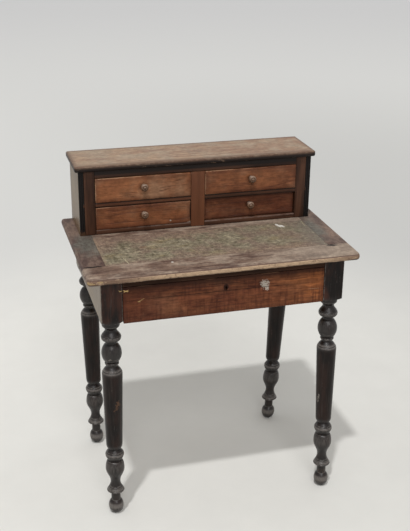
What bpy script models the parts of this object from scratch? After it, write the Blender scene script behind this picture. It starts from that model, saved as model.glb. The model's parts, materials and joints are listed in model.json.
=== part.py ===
"""Child's writing desk: a table on turned legs with a wide drawer, and a case of small drawers on its back.

Lengths are in metres. X runs from the sitter's left to right, Y from the sitter to the back, Z up.
"""

from collections import namedtuple
from math import acos, cos, pi, sin

import bmesh
import bpy
from mathutils import Matrix, Vector

# Clearances: seated faces, drawers at their sides and heads, and how far joined shapes overlap
FIT_GAP = 0.0003
SLIDE_GAP = 0.0007
HEAD_GAP = 0.0010
OVERLAP = 0.0010

# Writing top: a rail frame round a panel that carries a leather skin
TOP_WIDTH = 0.600
TOP_DEPTH = 0.378
TOP_THICK = 0.016
WRITING_HEIGHT = 0.600
TOP_FRONT_RAIL_WIDTH = 0.068
TOP_END_WIDTH = 0.050
TOP_BACK_RAIL_MARGIN = 0.020
TOP_CORNER_RADIUS = 0.010
TOP_NOSE = 0.0065
LEATHER_THICK = 0.0012
PANEL_THICK = 0.0090
PANEL_TONGUE = 0.006
PANEL_TONGUE_THICK = 0.004
TOP_TENON_LENGTH = 0.014
TOP_TENON_WIDTH = 0.026
TOP_TENON_THICK = 0.005

# Apron: leg blocks, rails and drawer runners under the top
TOP_OVERHANG_SIDE = 0.0295
TOP_OVERHANG_FRONT = 0.018
TOP_OVERHANG_BACK = 0.008
APRON_HEIGHT = 0.098
LEG_BLOCK = 0.046
RAIL_THICK = 0.018
RAIL_SETBACK = 0.001
TENON_LENGTH = 0.018
TENON_THICK = 0.006
TENON_SHOULDER = 0.015
FRONT_RAIL_THICK = 0.014
FRONT_RAIL_DEPTH = 0.040
FRONT_TENON_WIDTH = 0.022
RUNNER_LIP = 0.003
RUNNER_HEIGHT = 0.010

# Turned leg, from the block down to the floor; the tapered shaft takes the length that the turnings leave
SHOULDER_HEIGHT = 0.016
COLLAR_RADIUS = 0.0195
COLLAR_HEIGHT = 0.0085
THROAT_RADIUS = 0.0126
THROAT_HEIGHT = 0.0105
CAP_RADIUS = 0.0218
CAP_RISE = 0.0185
CAP_FALL = 0.009
BALL_NECK_RADIUS = 0.0118
BALL_NECK_HEIGHT = 0.0055
BALL_RADIUS = 0.0221
BALL_HEIGHT = 0.0447
BALL_END_RADIUS = 0.0135
BEAD_RADIUS = 0.0156
BEAD_HEIGHT = 0.007
SHAFT_NECK_RADIUS = 0.0116
SHAFT_NECK_HEIGHT = 0.0035
SHAFT_SHOULDER_HEIGHT = 0.018
SHAFT_TOP_RADIUS = 0.0225
SHAFT_END_RADIUS = 0.0182
SHAFT_CHAMFER_HEIGHT = 0.011
ANKLE_RADIUS = 0.0120
ANKLE_HEIGHT = 0.0015
RING_RADIUS = 0.0212
RING_HEIGHT = 0.028
RING_BLUNTNESS = 1.5
VASE_NECK_RADIUS = 0.0150
VASE_NECK_HEIGHT = 0.002
VASE_RADIUS = 0.0212
VASE_RISE = 0.021
VASE_FALL = 0.0337
VASE_END_RADIUS = 0.0111
VASE_END_HEIGHT = 0.003
BELL_RADIUS = 0.0200
BELL_HEIGHT = 0.0211
BELL_LIP_HEIGHT = 0.0047
BELL_FLARE = 1.6
FOOT_NECK_RADIUS = 0.0106
FOOT_NECK_HEIGHT = 0.0218
FOOT_RADIUS = 0.0171
FOOT_HEIGHT = 0.0342
FOOT_PAD_RADIUS = 0.0065
LEG_SIDES = 16

# How far each foot of the tired legs has crept from under its block: to the right, and to the back
FOOT_CREEP_FRONT_LEFT = (0.0, 0.0)
FOOT_CREEP_FRONT_RIGHT = (0.0, -0.022)
FOOT_CREEP_BACK_LEFT = (0.006, -0.007)
FOOT_CREEP_BACK_RIGHT = (-0.024, -0.006)

# Upper case: carcase boards, stiles and shelves
CASE_INSET = 0.026
CASE_DEPTH = 0.126
CASE_SIDE_THICK = 0.012
CASE_BACK_THICK = 0.008
CASE_TOP_THICK = 0.0135
CASE_TOP_OVERHANG_SIDE = 0.008
CASE_TOP_OVERHANG_FRONT = 0.007
CASE_TOP_CORNER_RADIUS = 0.004
CASE_TOP_NOSE = 0.0050
CASE_BOTTOM_THICK = 0.011
CASE_SHELF_THICK = 0.0105
CASE_TOP_RAIL_HEIGHT = 0.0175
LOWER_OPENING_HEIGHT = 0.0535
UPPER_OPENING_HEIGHT = 0.0575
STILE_WIDTH = 0.024
STILE_THICK = 0.015
CENTRE_STILE_WIDTH = 0.0325
STILE_TENON_LENGTH = 0.008
STILE_TENON_THICK = 0.005
PARTITION_THICK = 0.012
HOUSING_DEPTH = 0.003
GUIDE_HEIGHT = 0.008
REED_QUIRK_WIDTH = 0.0012
REED_QUIRK_DEPTH = 0.0015

# Wide drawer under the top
MAIN_FRONT_THICK = 0.018
MAIN_SIDE_THICK = 0.010
MAIN_BACK_THICK = 0.010
MAIN_BACK_INSET = 0.010
MAIN_BOTTOM_THICK = 0.005
MAIN_SIDE_DROP = 0.004
MAIN_BOTTOM_RISE = 0.006
MAIN_GROOVE_DEPTH = 0.004
MAIN_TAIL_LENGTH = 0.012
MAIN_TAILS = 3
MAIN_BACK_SPACE = 0.0008

# Small drawers in the case; they sit a little proud of or behind the stiles, as drawers without stops do
SMALL_FRONT_THICK = 0.012
SMALL_SIDE_THICK = 0.007
SMALL_BACK_THICK = 0.007
SMALL_BACK_INSET = 0.007
SMALL_BOTTOM_THICK = 0.0035
SMALL_SIDE_DROP = 0.003
SMALL_BOTTOM_RISE = 0.004
SMALL_GROOVE_DEPTH = 0.003
SMALL_TAIL_LENGTH = 0.008
SMALL_TAILS = 2
SMALL_BACK_SPACE = 0.0135
UPPER_DRAWER_PROUD = 0.0015
LOWER_RIGHT_RECESS = 0.008

# Turned knob
KNOB_RADIUS = 0.0086
KNOB_HEAD_LENGTH = 0.0090
KNOB_NECK_RADIUS = 0.0042
KNOB_NECK_LENGTH = 0.0045
KNOB_FLANGE_RADIUS = 0.0058
KNOB_FLANGE_LENGTH = 0.0020
KNOB_BUTTON_RADIUS = 0.0032
KNOB_BUTTON_LENGTH = 0.0014
KNOB_SPIGOT_RADIUS = 0.0030
KNOB_SPIGOT_LENGTH = 0.0095
KNOB_RAISE = 0.004
KNOB_SIDES = 12

# Drawer lock
LOCK_WIDTH = 0.044
LOCK_HEIGHT = 0.036
LOCK_DEPTH = 0.008
BOLT_WIDTH = 0.018
BOLT_THICK = 0.0042
BOLT_LENGTH = 0.022
STRIKE_GAP = 0.0010
KEYHOLE_DROP = 0.0235
KEYHOLE_RADIUS = 0.0026
KEYHOLE_SLOT_WIDTH = 0.0028
KEYHOLE_SLOT_LENGTH = 0.0065
KEYHOLE_SIDES = 12

# Levels and faces that several pieces share
FRONT = -TOP_DEPTH / 2
BACK = TOP_DEPTH / 2
TOP_UNDERSIDE = WRITING_HEIGHT - TOP_THICK
TOP_BACK_RAIL_WIDTH = CASE_DEPTH + TOP_BACK_RAIL_MARGIN
APRON_TOP = TOP_UNDERSIDE - FIT_GAP
APRON_BOTTOM = APRON_TOP - APRON_HEIGHT
BLOCK_OUTER = TOP_WIDTH / 2 - TOP_OVERHANG_SIDE
BLOCK_INNER = BLOCK_OUTER - LEG_BLOCK
BLOCK_FRONT = FRONT + TOP_OVERHANG_FRONT
BLOCK_BACK = BACK - TOP_OVERHANG_BACK
RAIL_OUTER = BLOCK_OUTER - RAIL_SETBACK
RAIL_INNER = RAIL_OUTER - RAIL_THICK
BACK_RAIL_INNER = BLOCK_BACK - RAIL_SETBACK - RAIL_THICK
RUNNER_TOP = APRON_BOTTOM + FIT_GAP + RUNNER_HEIGHT
FRONT_RAIL_BOTTOM = APRON_TOP - FRONT_RAIL_THICK

CASE_FRONT = BACK - CASE_DEPTH
CASE_OUTER = TOP_WIDTH / 2 - CASE_INSET
CASE_INNER = CASE_OUTER - CASE_SIDE_THICK
CASE_BACK_INNER = BACK - CASE_BACK_THICK
CASE_FLOOR = WRITING_HEIGHT + FIT_GAP
LOWER_SILL = CASE_FLOOR + CASE_BOTTOM_THICK
LOWER_HEAD = LOWER_SILL + LOWER_OPENING_HEIGHT
UPPER_SILL = LOWER_HEAD + CASE_SHELF_THICK
UPPER_HEAD = UPPER_SILL + UPPER_OPENING_HEIGHT
CASE_CEILING = UPPER_HEAD + CASE_TOP_RAIL_HEIGHT
STILE_OUTER = CASE_INNER - FIT_GAP
STILE_INNER = STILE_OUTER - STILE_WIDTH
STILE_REAR = CASE_FRONT + STILE_THICK
CENTRE_EDGE = CENTRE_STILE_WIDTH / 2
PARTITION_FACE = PARTITION_THICK / 2
SMALL_DRAWER_REAR = CASE_BACK_INNER - SMALL_BACK_SPACE

Box = namedtuple("Box", "x y z")
DrawerStock = namedtuple(
    "DrawerStock", "front side back back_inset bottom side_drop bottom_rise groove tail_length tails")


# Scene helpers

def new_collection(name):
    """A fresh collection linked to the scene."""
    collection = bpy.data.collections.new(name)
    bpy.context.scene.collection.children.link(collection)
    return collection


def finish(name, colour, roughness, metallic=0.0):
    """A plain material of one colour."""
    material = bpy.data.materials.new(name)
    material.use_nodes = True
    shader = material.node_tree.nodes["Principled BSDF"]
    shader.inputs["Base Color"].default_value = (*colour, 1.0)
    shader.inputs["Roughness"].default_value = roughness
    shader.inputs["Metallic"].default_value = metallic
    return material


def place(name, mesh, collection, location, parent=None):
    """An object at a world location, carried by an empty where one is given."""
    piece = bpy.data.objects.new(name, mesh)
    collection.objects.link(piece)
    piece.parent = parent
    piece.location = Vector(location) - (parent.location if parent else Vector())
    return piece


def carrier(name, location):
    """An empty that carries the pieces of one drawer."""
    return place(name, None, desk, location)


def as_cutter(tool):
    """Marks an object as a tool that shapes other pieces."""
    tool.hide_render = True
    tool.display_type = 'WIRE'
    return tool


# Boxes

def grown(box, gap=FIT_GAP):
    """The room that a box needs where it is let into another piece."""
    return Box(*[(low - gap, high + gap) for low, high in box])


def on_side(box, side):
    """A box drawn for the right-hand side, or its mirror image for side -1."""
    return Box(tuple(sorted((side * box.x[0], side * box.x[1]))), box.y, box.z)


def centre(box):
    """The middle of a box."""
    return Vector([(low + high) / 2 for low, high in box])


def extent(box):
    """The lengths of a box's sides."""
    return Vector([high - low for low, high in box])


def box_form(box):
    """A bmesh cuboid of the box's size, centred on its own origin."""
    form = bmesh.new()
    bmesh.ops.create_cube(form, size=1.0)
    bmesh.ops.scale(form, vec=extent(box), verts=form.verts)
    return form


def as_mesh(name, form):
    """A mesh from a bmesh, which is freed."""
    mesh = bpy.data.meshes.new(name)
    form.to_mesh(mesh)
    form.free()
    return mesh


def board(name, box, material, parent=None):
    """A plain board."""
    piece = place(name, as_mesh(name, box_form(box)), desk, centre(box), parent)
    piece.data.materials.append(material)
    return piece


def box_tool(name, box, parent=None):
    """A cuboid tool."""
    return as_cutter(place(name, as_mesh(name, box_form(box)), tools, centre(box), parent))


def round_edges(form, picks, radius, segments):
    """Rounds the edges whose middle point is picked."""
    edges = [edge for edge in form.edges if picks((edge.verts[0].co + edge.verts[1].co) / 2)]
    bmesh.ops.bevel(form, geom=edges, offset=radius, segments=segments, profile=0.5, affect='EDGES')


def nosed_board(name, box, material, nose, corner, nosed_sides):
    """A board with a rounded nose along some outer sides, and rounded front corners where it has any."""
    half = extent(box) / 2
    near = OVERLAP / 10
    form = box_form(box)
    if corner:
        round_edges(form, lambda p: abs(p.z) < near and p.y < near - half.y, corner, 3)
    round_edges(form, lambda p: abs(p.z) > half.z - near and nosed_sides(p, half, near), nose, 3)
    piece = place(name, as_mesh(name, form), desk, centre(box))
    piece.data.materials.append(material)
    return piece


# Boolean modifiers

def shape(piece, operation, shapers):
    """Adds one Boolean modifier for each shaper."""
    for shaper in shapers:
        modifier = piece.modifiers.new(shaper.name, 'BOOLEAN')
        modifier.operation = operation
        modifier.object = shaper


def cut(piece, *cutters):
    shape(piece, 'DIFFERENCE', cutters)


def join(piece, *additions):
    shape(piece, 'UNION', additions)


# Turning

def swell(top, height, neck, belly, end, points=6):
    """A bead: half an ellipse from one neck radius out to the belly and back to the end radius."""
    profile = []
    for step in range(points + 1):
        turn = pi * step / points
        base = neck if turn < pi / 2 else end
        profile.append((base + (belly - base) * sin(turn), top - height * (1 - cos(turn)) / 2))
    return profile


def bulge(top, height, neck, belly, end, points=8):
    """A ball: the part of an ellipse between a neck above its belly and an end below it."""
    upper = acos(neck / belly)
    lower = acos(end / belly)
    reach = height / (sin(upper) + sin(lower))
    profile = []
    for step in range(points + 1):
        turn = upper - (upper + lower) * step / points
        profile.append((belly * cos(turn), top - reach * (sin(upper) - sin(turn))))
    return profile


def ridge(top, height, neck, belly, end, points=6):
    """A ring of two blunt cones, base to base."""
    profile = []
    for step in range(points + 1):
        share = step / points
        base = neck if share < 0.5 else end
        rise = 1 - abs(2 * share - 1) ** RING_BLUNTNESS
        profile.append((base + (belly - base) * rise, top - height * share))
    return profile


def flare(top, height, start, end, points=4):
    """A bell's side, which opens faster and faster from one radius to another."""
    return [(start + (end - start) * (step / points) ** BELL_FLARE, top - height * step / points)
            for step in range(points + 1)]


def slope_out(top, height, start, end, points=4):
    """A shoulder that leaves a neck at a slant and ends along the axis."""
    return [(start + (end - start) * sin(pi / 2 * step / points), top - height * step / points)
            for step in range(points + 1)]


def ease(top, height, start, end, points=4):
    """An S-shaped run from one radius to another."""
    return [(start + (end - start) * (1 - cos(pi * step / points)) / 2, top - height * step / points)
            for step in range(points + 1)]


def quarter_out(top, height, start, end, points=3):
    """A quarter round that leaves a neck square to the axis and ends along it."""
    return [(start + (end - start) * sin(pi / 2 * step / points),
             top - height * (1 - cos(pi / 2 * step / points))) for step in range(points + 1)]


def quarter_in(top, height, start, end, points=3):
    """A quarter round that starts along the axis and ends square to it."""
    return [(end + (start - end) * cos(pi / 2 * step / points),
             top - height * sin(pi / 2 * step / points)) for step in range(points + 1)]


def leg_profile():
    """Radius and height of the turned part of a leg, from inside its block down to the floor."""
    level = APRON_BOTTOM
    profile = [(0.0, level + SHOULDER_HEIGHT), (COLLAR_RADIUS, level + SHOULDER_HEIGHT)]

    def turn(kind, height, *radii):
        nonlocal level
        profile.extend(kind(level, height, *radii))
        level -= height

    def straight(level_top, height, radius, end):
        return [(radius, level_top), (end, level_top - height)]

    low_turnings = sum((SHAFT_CHAMFER_HEIGHT, ANKLE_HEIGHT, RING_HEIGHT, VASE_NECK_HEIGHT, VASE_RISE,
                        VASE_FALL, VASE_END_HEIGHT, BELL_HEIGHT, BELL_LIP_HEIGHT, FOOT_NECK_HEIGHT,
                        FOOT_HEIGHT))
    turn(straight, COLLAR_HEIGHT, COLLAR_RADIUS, COLLAR_RADIUS)
    turn(ease, THROAT_HEIGHT, COLLAR_RADIUS, THROAT_RADIUS)
    turn(ease, CAP_RISE, THROAT_RADIUS, CAP_RADIUS)
    turn(quarter_in, CAP_FALL, CAP_RADIUS, BALL_NECK_RADIUS)
    turn(straight, BALL_NECK_HEIGHT, BALL_NECK_RADIUS, BALL_NECK_RADIUS)
    turn(bulge, BALL_HEIGHT, BALL_NECK_RADIUS, BALL_RADIUS, BALL_END_RADIUS)
    turn(swell, BEAD_HEIGHT, BALL_END_RADIUS, BEAD_RADIUS, SHAFT_NECK_RADIUS)
    turn(straight, SHAFT_NECK_HEIGHT, SHAFT_NECK_RADIUS, SHAFT_NECK_RADIUS)
    turn(slope_out, SHAFT_SHOULDER_HEIGHT, SHAFT_NECK_RADIUS, SHAFT_TOP_RADIUS)
    turn(straight, level - low_turnings, SHAFT_TOP_RADIUS, SHAFT_END_RADIUS)
    turn(straight, SHAFT_CHAMFER_HEIGHT, SHAFT_END_RADIUS, ANKLE_RADIUS)
    turn(straight, ANKLE_HEIGHT, ANKLE_RADIUS, ANKLE_RADIUS)
    turn(ridge, RING_HEIGHT, ANKLE_RADIUS, RING_RADIUS, VASE_NECK_RADIUS)
    turn(straight, VASE_NECK_HEIGHT, VASE_NECK_RADIUS, VASE_NECK_RADIUS)
    turn(quarter_out, VASE_RISE, VASE_NECK_RADIUS, VASE_RADIUS)
    turn(ease, VASE_FALL, VASE_RADIUS, VASE_END_RADIUS)
    turn(straight, VASE_END_HEIGHT, VASE_END_RADIUS, VASE_END_RADIUS)
    turn(flare, BELL_HEIGHT, VASE_END_RADIUS, BELL_RADIUS)
    turn(quarter_in, BELL_LIP_HEIGHT, BELL_RADIUS, FOOT_NECK_RADIUS)
    turn(straight, FOOT_NECK_HEIGHT, FOOT_NECK_RADIUS, FOOT_NECK_RADIUS)
    turn(bulge, FOOT_HEIGHT, FOOT_NECK_RADIUS, FOOT_RADIUS, FOOT_PAD_RADIUS)
    profile.append((0.0, 0.0))
    return without_doubles(profile)


def shoulder_profile():
    """Radius and height of the lathe-cut rounding at the foot of a leg block."""
    reach = LEG_BLOCK
    rise = APRON_BOTTOM + SHOULDER_HEIGHT
    profile = [(0.0, APRON_TOP + OVERLAP), (reach, APRON_TOP + OVERLAP)]
    profile += quarter_in(rise, SHOULDER_HEIGHT + OVERLAP, reach, COLLAR_RADIUS, 5)
    profile.append((0.0, APRON_BOTTOM - OVERLAP))
    return profile


def knob_profile():
    """Radius and height of a knob along its axis, from its button back to its spigot's end."""
    flange_face = KNOB_FLANGE_LENGTH
    head_rear = flange_face + KNOB_NECK_LENGTH
    head_front = head_rear + KNOB_HEAD_LENGTH
    button_face = head_front + KNOB_BUTTON_LENGTH
    profile = [(0.0, button_face), (KNOB_BUTTON_RADIUS, head_front)]
    profile += swell(head_front, KNOB_HEAD_LENGTH, KNOB_BUTTON_RADIUS, KNOB_RADIUS, KNOB_NECK_RADIUS)
    profile += [(KNOB_NECK_RADIUS, flange_face), (KNOB_FLANGE_RADIUS, flange_face)]
    profile += [(KNOB_FLANGE_RADIUS, FIT_GAP), (KNOB_SPIGOT_RADIUS, FIT_GAP)]
    profile += [(KNOB_SPIGOT_RADIUS, -KNOB_SPIGOT_LENGTH), (0.0, -KNOB_SPIGOT_LENGTH)]
    return without_doubles(profile)


def without_doubles(profile):
    """A profile with each repeated point kept once."""
    kept = profile[:1]
    for radius, height in profile[1:]:
        if abs(radius - kept[-1][0]) + abs(height - kept[-1][1]) > OVERLAP / 100:
            kept.append((radius, height))
    return kept


def turned(name, profile, sides, collection, location, parent=None):
    """A solid turned about its own Z axis from a profile that runs down its outer side."""
    mesh = bpy.data.meshes.new(name)
    points = [(radius, 0.0, height) for radius, height in profile]
    mesh.from_pydata(points, [(i, i + 1) for i in range(len(points) - 1)], [])
    piece = place(name, mesh, collection, location, parent)
    screw = piece.modifiers.new("turning", 'SCREW')
    screw.steps = sides
    screw.render_steps = sides
    screw.use_merge_vertices = True
    screw.merge_threshold = FIT_GAP / 10
    return piece


def slant(tool, creep):
    """Fixes a turned tool's shape, and slants it so that its foot stands aside from under its top."""
    across, along = creep
    graph = bpy.context.evaluated_depsgraph_get()
    mesh = bpy.data.meshes.new_from_object(tool.evaluated_get(graph))
    mesh.transform(Matrix.Shear('XY', 4, (-across / APRON_BOTTOM, -along / APRON_BOTTOM)))
    mesh.transform(Matrix.Translation((across, along, 0.0)))
    tool.modifiers.clear()
    tool.data = mesh


# Writing top

def panel_tongue():
    """The flat tongue round the panel, which floats in the frame's grooves."""
    reach = TOP_WIDTH / 2 - TOP_END_WIDTH + PANEL_TONGUE - FIT_GAP
    front = FRONT + TOP_FRONT_RAIL_WIDTH - PANEL_TONGUE + FIT_GAP
    rear = BACK - TOP_BACK_RAIL_WIDTH + PANEL_TONGUE - FIT_GAP
    low = WRITING_HEIGHT - LEATHER_THICK - PANEL_THICK
    return Box((-reach, reach), (front, rear), (low, low + PANEL_TONGUE_THICK))


def top_tenon_level():
    """The height span of the tenons that join the frame of the top."""
    middle = (TOP_UNDERSIDE + WRITING_HEIGHT) / 2
    return (middle - TOP_TENON_THICK / 2, middle + TOP_TENON_THICK / 2)


def end_tenon_box():
    """The tenon of the right-hand end board, let into the front rail."""
    across = TOP_WIDTH / 2 - TOP_END_WIDTH / 2
    joint = FRONT + TOP_FRONT_RAIL_WIDTH
    half = TOP_TENON_WIDTH / 2
    return Box((across - half, across + half), (joint - TOP_TENON_LENGTH, joint + FIT_GAP + OVERLAP),
               top_tenon_level())


def back_tenon_box():
    """The right-hand tenon of the back rail, let into the end board."""
    across = BACK - TOP_BACK_RAIL_WIDTH / 2
    joint = TOP_WIDTH / 2 - TOP_END_WIDTH
    half = TOP_TENON_WIDTH / 2
    return Box((joint - FIT_GAP - OVERLAP, joint + TOP_TENON_LENGTH), (across - half, across + half),
               top_tenon_level())


def writing_top():
    """The frame of the writing top, its floating panel and the leather on it."""
    level = (TOP_UNDERSIDE, WRITING_HEIGHT)
    front_joint = FRONT + TOP_FRONT_RAIL_WIDTH
    back_joint = BACK - TOP_BACK_RAIL_WIDTH
    end_joint = TOP_WIDTH / 2 - TOP_END_WIDTH
    groove = box_tool("panel_groove", grown(panel_tongue()))

    def nosed_front(p, half, near):
        return p.y < half.y - near

    def nosed_left(p, half, near):
        return p.x < near - half.x

    def nosed_right(p, half, near):
        return p.x > half.x - near

    front_box = Box((-TOP_WIDTH / 2, TOP_WIDTH / 2), (FRONT, front_joint), level)
    front_rail = nosed_board("top_front_rail", front_box, worn_walnut, TOP_NOSE, TOP_CORNER_RADIUS,
                             nosed_front)
    back_box = Box((FIT_GAP - end_joint, end_joint - FIT_GAP), (back_joint, BACK), level)
    back_rail = board("top_back_rail", back_box, worn_walnut)
    cut(front_rail, groove)
    cut(back_rail, groove)

    for side, label, nosed in ((-1, "left", nosed_left), (1, "right", nosed_right)):
        end_box = on_side(Box((end_joint, TOP_WIDTH / 2), (front_joint + FIT_GAP, BACK), level), side)
        end = nosed_board(f"top_end_{label}", end_box, worn_walnut, TOP_NOSE, 0.0, nosed)
        end_tenon = on_side(end_tenon_box(), side)
        back_tenon = on_side(back_tenon_box(), side)
        join(end, box_tool(f"top_end_tenon_{label}", end_tenon))
        cut(end, groove, box_tool(f"top_end_mortise_{label}", grown(back_tenon)))
        cut(front_rail, box_tool(f"top_front_mortise_{label}", grown(end_tenon)))
        join(back_rail, box_tool(f"top_back_tenon_{label}", back_tenon))

    bed = WRITING_HEIGHT - LEATHER_THICK
    opening = Box((FIT_GAP - end_joint, end_joint - FIT_GAP),
                  (front_joint + FIT_GAP, back_joint - FIT_GAP), (bed - PANEL_THICK, bed - FIT_GAP))
    panel = board("writing_panel", opening, worn_walnut)
    join(panel, box_tool("panel_tongue", panel_tongue()))
    board("writing_leather", Box(opening.x, opening.y, (bed, WRITING_HEIGHT)), leather)


# Apron and legs

def side_rail_boxes():
    """A right-hand side rail and the tenon that runs through it into both legs."""
    between = (BLOCK_FRONT + LEG_BLOCK + FIT_GAP, BLOCK_BACK - LEG_BLOCK - FIT_GAP)
    middle = (RAIL_INNER + RAIL_OUTER) / 2
    rail = Box((RAIL_INNER, RAIL_OUTER), between, (APRON_BOTTOM, APRON_TOP))
    tenon = Box((middle - TENON_THICK / 2, middle + TENON_THICK / 2),
                (between[0] - TENON_LENGTH, between[1] + TENON_LENGTH),
                (APRON_BOTTOM + TENON_SHOULDER, APRON_TOP - TENON_SHOULDER))
    return rail, tenon


def back_rail_boxes():
    """The back rail and its tenon."""
    reach = BLOCK_INNER - FIT_GAP
    middle = BACK_RAIL_INNER + RAIL_THICK / 2
    rail = Box((-reach, reach), (BACK_RAIL_INNER, BACK_RAIL_INNER + RAIL_THICK), (APRON_BOTTOM, APRON_TOP))
    tenon = Box((-reach - TENON_LENGTH, reach + TENON_LENGTH),
                (middle - TENON_THICK / 2, middle + TENON_THICK / 2),
                (APRON_BOTTOM + TENON_SHOULDER, APRON_TOP - TENON_SHOULDER))
    return rail, tenon


def front_rail_boxes():
    """The thin rail above the wide drawer, and its tenon."""
    reach = BLOCK_INNER - FIT_GAP
    depth = (BLOCK_FRONT, BLOCK_FRONT + FRONT_RAIL_DEPTH)
    across = (depth[0] + depth[1]) / 2
    level = APRON_TOP - FRONT_RAIL_THICK / 2
    rail = Box((-reach, reach), depth, (FRONT_RAIL_BOTTOM, APRON_TOP))
    tenon = Box((-reach - TENON_LENGTH, reach + TENON_LENGTH),
                (across - FRONT_TENON_WIDTH / 2, across + FRONT_TENON_WIDTH / 2),
                (level - TENON_THICK / 2, level + TENON_THICK / 2))
    return rail, tenon


def tenoned_rail(name, boxes, material):
    """A rail with tenons at both ends, and the tool that cuts their mortises."""
    rail = board(name, boxes[0], material)
    join(rail, box_tool(f"{name}_tenon", boxes[1]))
    return rail, box_tool(f"{name}_mortise", grown(boxes[1]))


def leg(name, x, y, creep, mortises):
    """A leg turned from a square billet, with its block left square and its shoulder rounded in the lathe."""
    half = LEG_BLOCK / 2
    block = Box((x - half, x + half), (y - half, y + half), (APRON_BOTTOM, APRON_TOP))
    shoulder = as_cutter(turned(f"{name}_shoulder", shoulder_profile(), LEG_SIDES, tools, (x, y, 0.0)))
    turning = as_cutter(turned(f"{name}_turning", leg_profile(), LEG_SIDES, tools, (x, y, 0.0)))
    slant(turning, creep)
    piece = board(name, block, ebonised)
    shape(piece, 'INTERSECT', [shoulder])
    join(piece, turning)
    cut(piece, *mortises)


def base():
    """Legs, rails and drawer runners."""
    back_rail, back_mortise = tenoned_rail("back_rail", back_rail_boxes(), dark_walnut)
    front_rail, front_mortise = tenoned_rail("front_top_rail", front_rail_boxes(), dark_walnut)
    cut(front_rail, box_tool("strike_slot", strike_box()))
    leg_x = BLOCK_OUTER - LEG_BLOCK / 2
    front_y = BLOCK_FRONT + LEG_BLOCK / 2
    back_y = BLOCK_BACK - LEG_BLOCK / 2
    sides = ((-1, "left", FOOT_CREEP_FRONT_LEFT, FOOT_CREEP_BACK_LEFT),
             (1, "right", FOOT_CREEP_FRONT_RIGHT, FOOT_CREEP_BACK_RIGHT))
    for side, label, front_creep, back_creep in sides:
        boxes = [on_side(box, side) for box in side_rail_boxes()]
        rail, side_mortise = tenoned_rail(f"side_rail_{label}", boxes, dark_walnut)
        leg(f"leg_front_{label}", side * leg_x, front_y, front_creep, [side_mortise, front_mortise])
        leg(f"leg_back_{label}", side * leg_x, back_y, back_creep, [side_mortise, back_mortise])
        runner_inner = BLOCK_INNER - SLIDE_GAP - MAIN_SIDE_THICK - RUNNER_LIP
        runner = Box((runner_inner, RAIL_INNER - FIT_GAP), boxes[0].y,
                     (RUNNER_TOP - RUNNER_HEIGHT, RUNNER_TOP))
        board(f"drawer_runner_{label}", on_side(runner, side), plain_wood)


# Drawers

def tail_box(stock, face, x, level, pitch, gap):
    """The tapered tail of a lapped dovetail, or with a gap its socket, as a box and its flare."""
    root = face + FIT_GAP + OVERLAP
    tip = face - stock.tail_length - gap
    narrow = pitch / 4 + gap
    wide = pitch / 3 + gap
    return Box((x[0] - gap, x[1] + gap), (tip, root), (level - narrow, level + narrow)), wide / narrow


def tail_tool(name, box, flare, parent):
    """A dovetail shape: a cuboid whose front end is wider than its root."""
    form = box_form(box)
    for point in form.verts:
        if point.co.y < 0:
            point.co.z *= flare
    return as_cutter(place(name, as_mesh(name, form), tools, centre(box), parent))


def drawer_side(name, stock, box, face, grooves, front, parent):
    """A drawer side with its tails, and the sockets that they fit in the drawer front."""
    piece = board(name, box, plain_wood, parent)
    pitch = (box.z[1] - box.z[0]) / stock.tails
    for number in range(stock.tails):
        level = box.z[0] + (number + 0.5) * pitch
        tail = tail_box(stock, face, box.x, level, pitch, 0.0)
        socket = tail_box(stock, face, box.x, level, pitch, FIT_GAP)
        join(piece, tail_tool(f"{name}_tail_{number}", *tail, parent))
        cut(front, tail_tool(f"{name}_socket_{number}", *socket, parent))
    cut(piece, *grooves)


def drawer(name, stock, front_box, side_low, rear, material, parent):
    """A dovetailed drawer of separate boards, with its bottom let into grooves; gives back its front."""
    face = front_box.y[0] + stock.front
    side_box_y = (face + FIT_GAP, rear)
    side_box_z = (side_low, front_box.z[1] - stock.side_drop)
    inner_left = front_box.x[0] + stock.side
    inner_right = front_box.x[1] - stock.side
    bottom_low = side_low + stock.bottom_rise
    bottom_box = Box((inner_left - stock.groove + FIT_GAP, inner_right + stock.groove - FIT_GAP),
                     (face - stock.groove + FIT_GAP, rear), (bottom_low, bottom_low + stock.bottom))
    back_box = Box((inner_left - stock.groove + FIT_GAP, inner_right + stock.groove - FIT_GAP),
                   (rear - stock.back_inset - stock.back, rear - stock.back_inset),
                   (bottom_box.z[1] + FIT_GAP, side_box_z[1] - stock.side_drop))
    bottom_groove = box_tool(f"{name}_bottom_groove", grown(bottom_box), parent)
    back_housing = box_tool(f"{name}_back_housing", grown(back_box), parent)
    front = board(f"{name}_front", front_box, material, parent)
    cut(front, bottom_groove)
    for label, x in (("left", (front_box.x[0], inner_left)), ("right", (inner_right, front_box.x[1]))):
        side_box = Box(x, side_box_y, side_box_z)
        grooves = [bottom_groove, back_housing]
        drawer_side(f"{name}_side_{label}", stock, side_box, face, grooves, front, parent)
    board(f"{name}_back", back_box, plain_wood, parent)
    board(f"{name}_bottom", bottom_box, plain_wood, parent)
    return front


# Wide drawer and its lock

def lock_box():
    """The lock case, let into the back of the drawer front with its top edge flush."""
    rear = BLOCK_FRONT + MAIN_FRONT_THICK
    head = FRONT_RAIL_BOTTOM - HEAD_GAP
    return Box((-LOCK_WIDTH / 2, LOCK_WIDTH / 2), (rear - LOCK_DEPTH, rear), (head - LOCK_HEIGHT, head))


def bolt_box():
    """The bolt, drawn back into its case."""
    case = lock_box()
    middle = (case.y[0] + case.y[1]) / 2
    return Box((-BOLT_WIDTH / 2, BOLT_WIDTH / 2), (middle - BOLT_THICK / 2, middle + BOLT_THICK / 2),
               (case.z[1] - BOLT_LENGTH, case.z[1]))


def strike_box():
    """The slot through the thin rail that the bolt is thrown into."""
    bolt = grown(bolt_box(), STRIKE_GAP)
    return Box(bolt.x, bolt.y, (FRONT_RAIL_BOTTOM - OVERLAP, APRON_TOP + OVERLAP))


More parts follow.
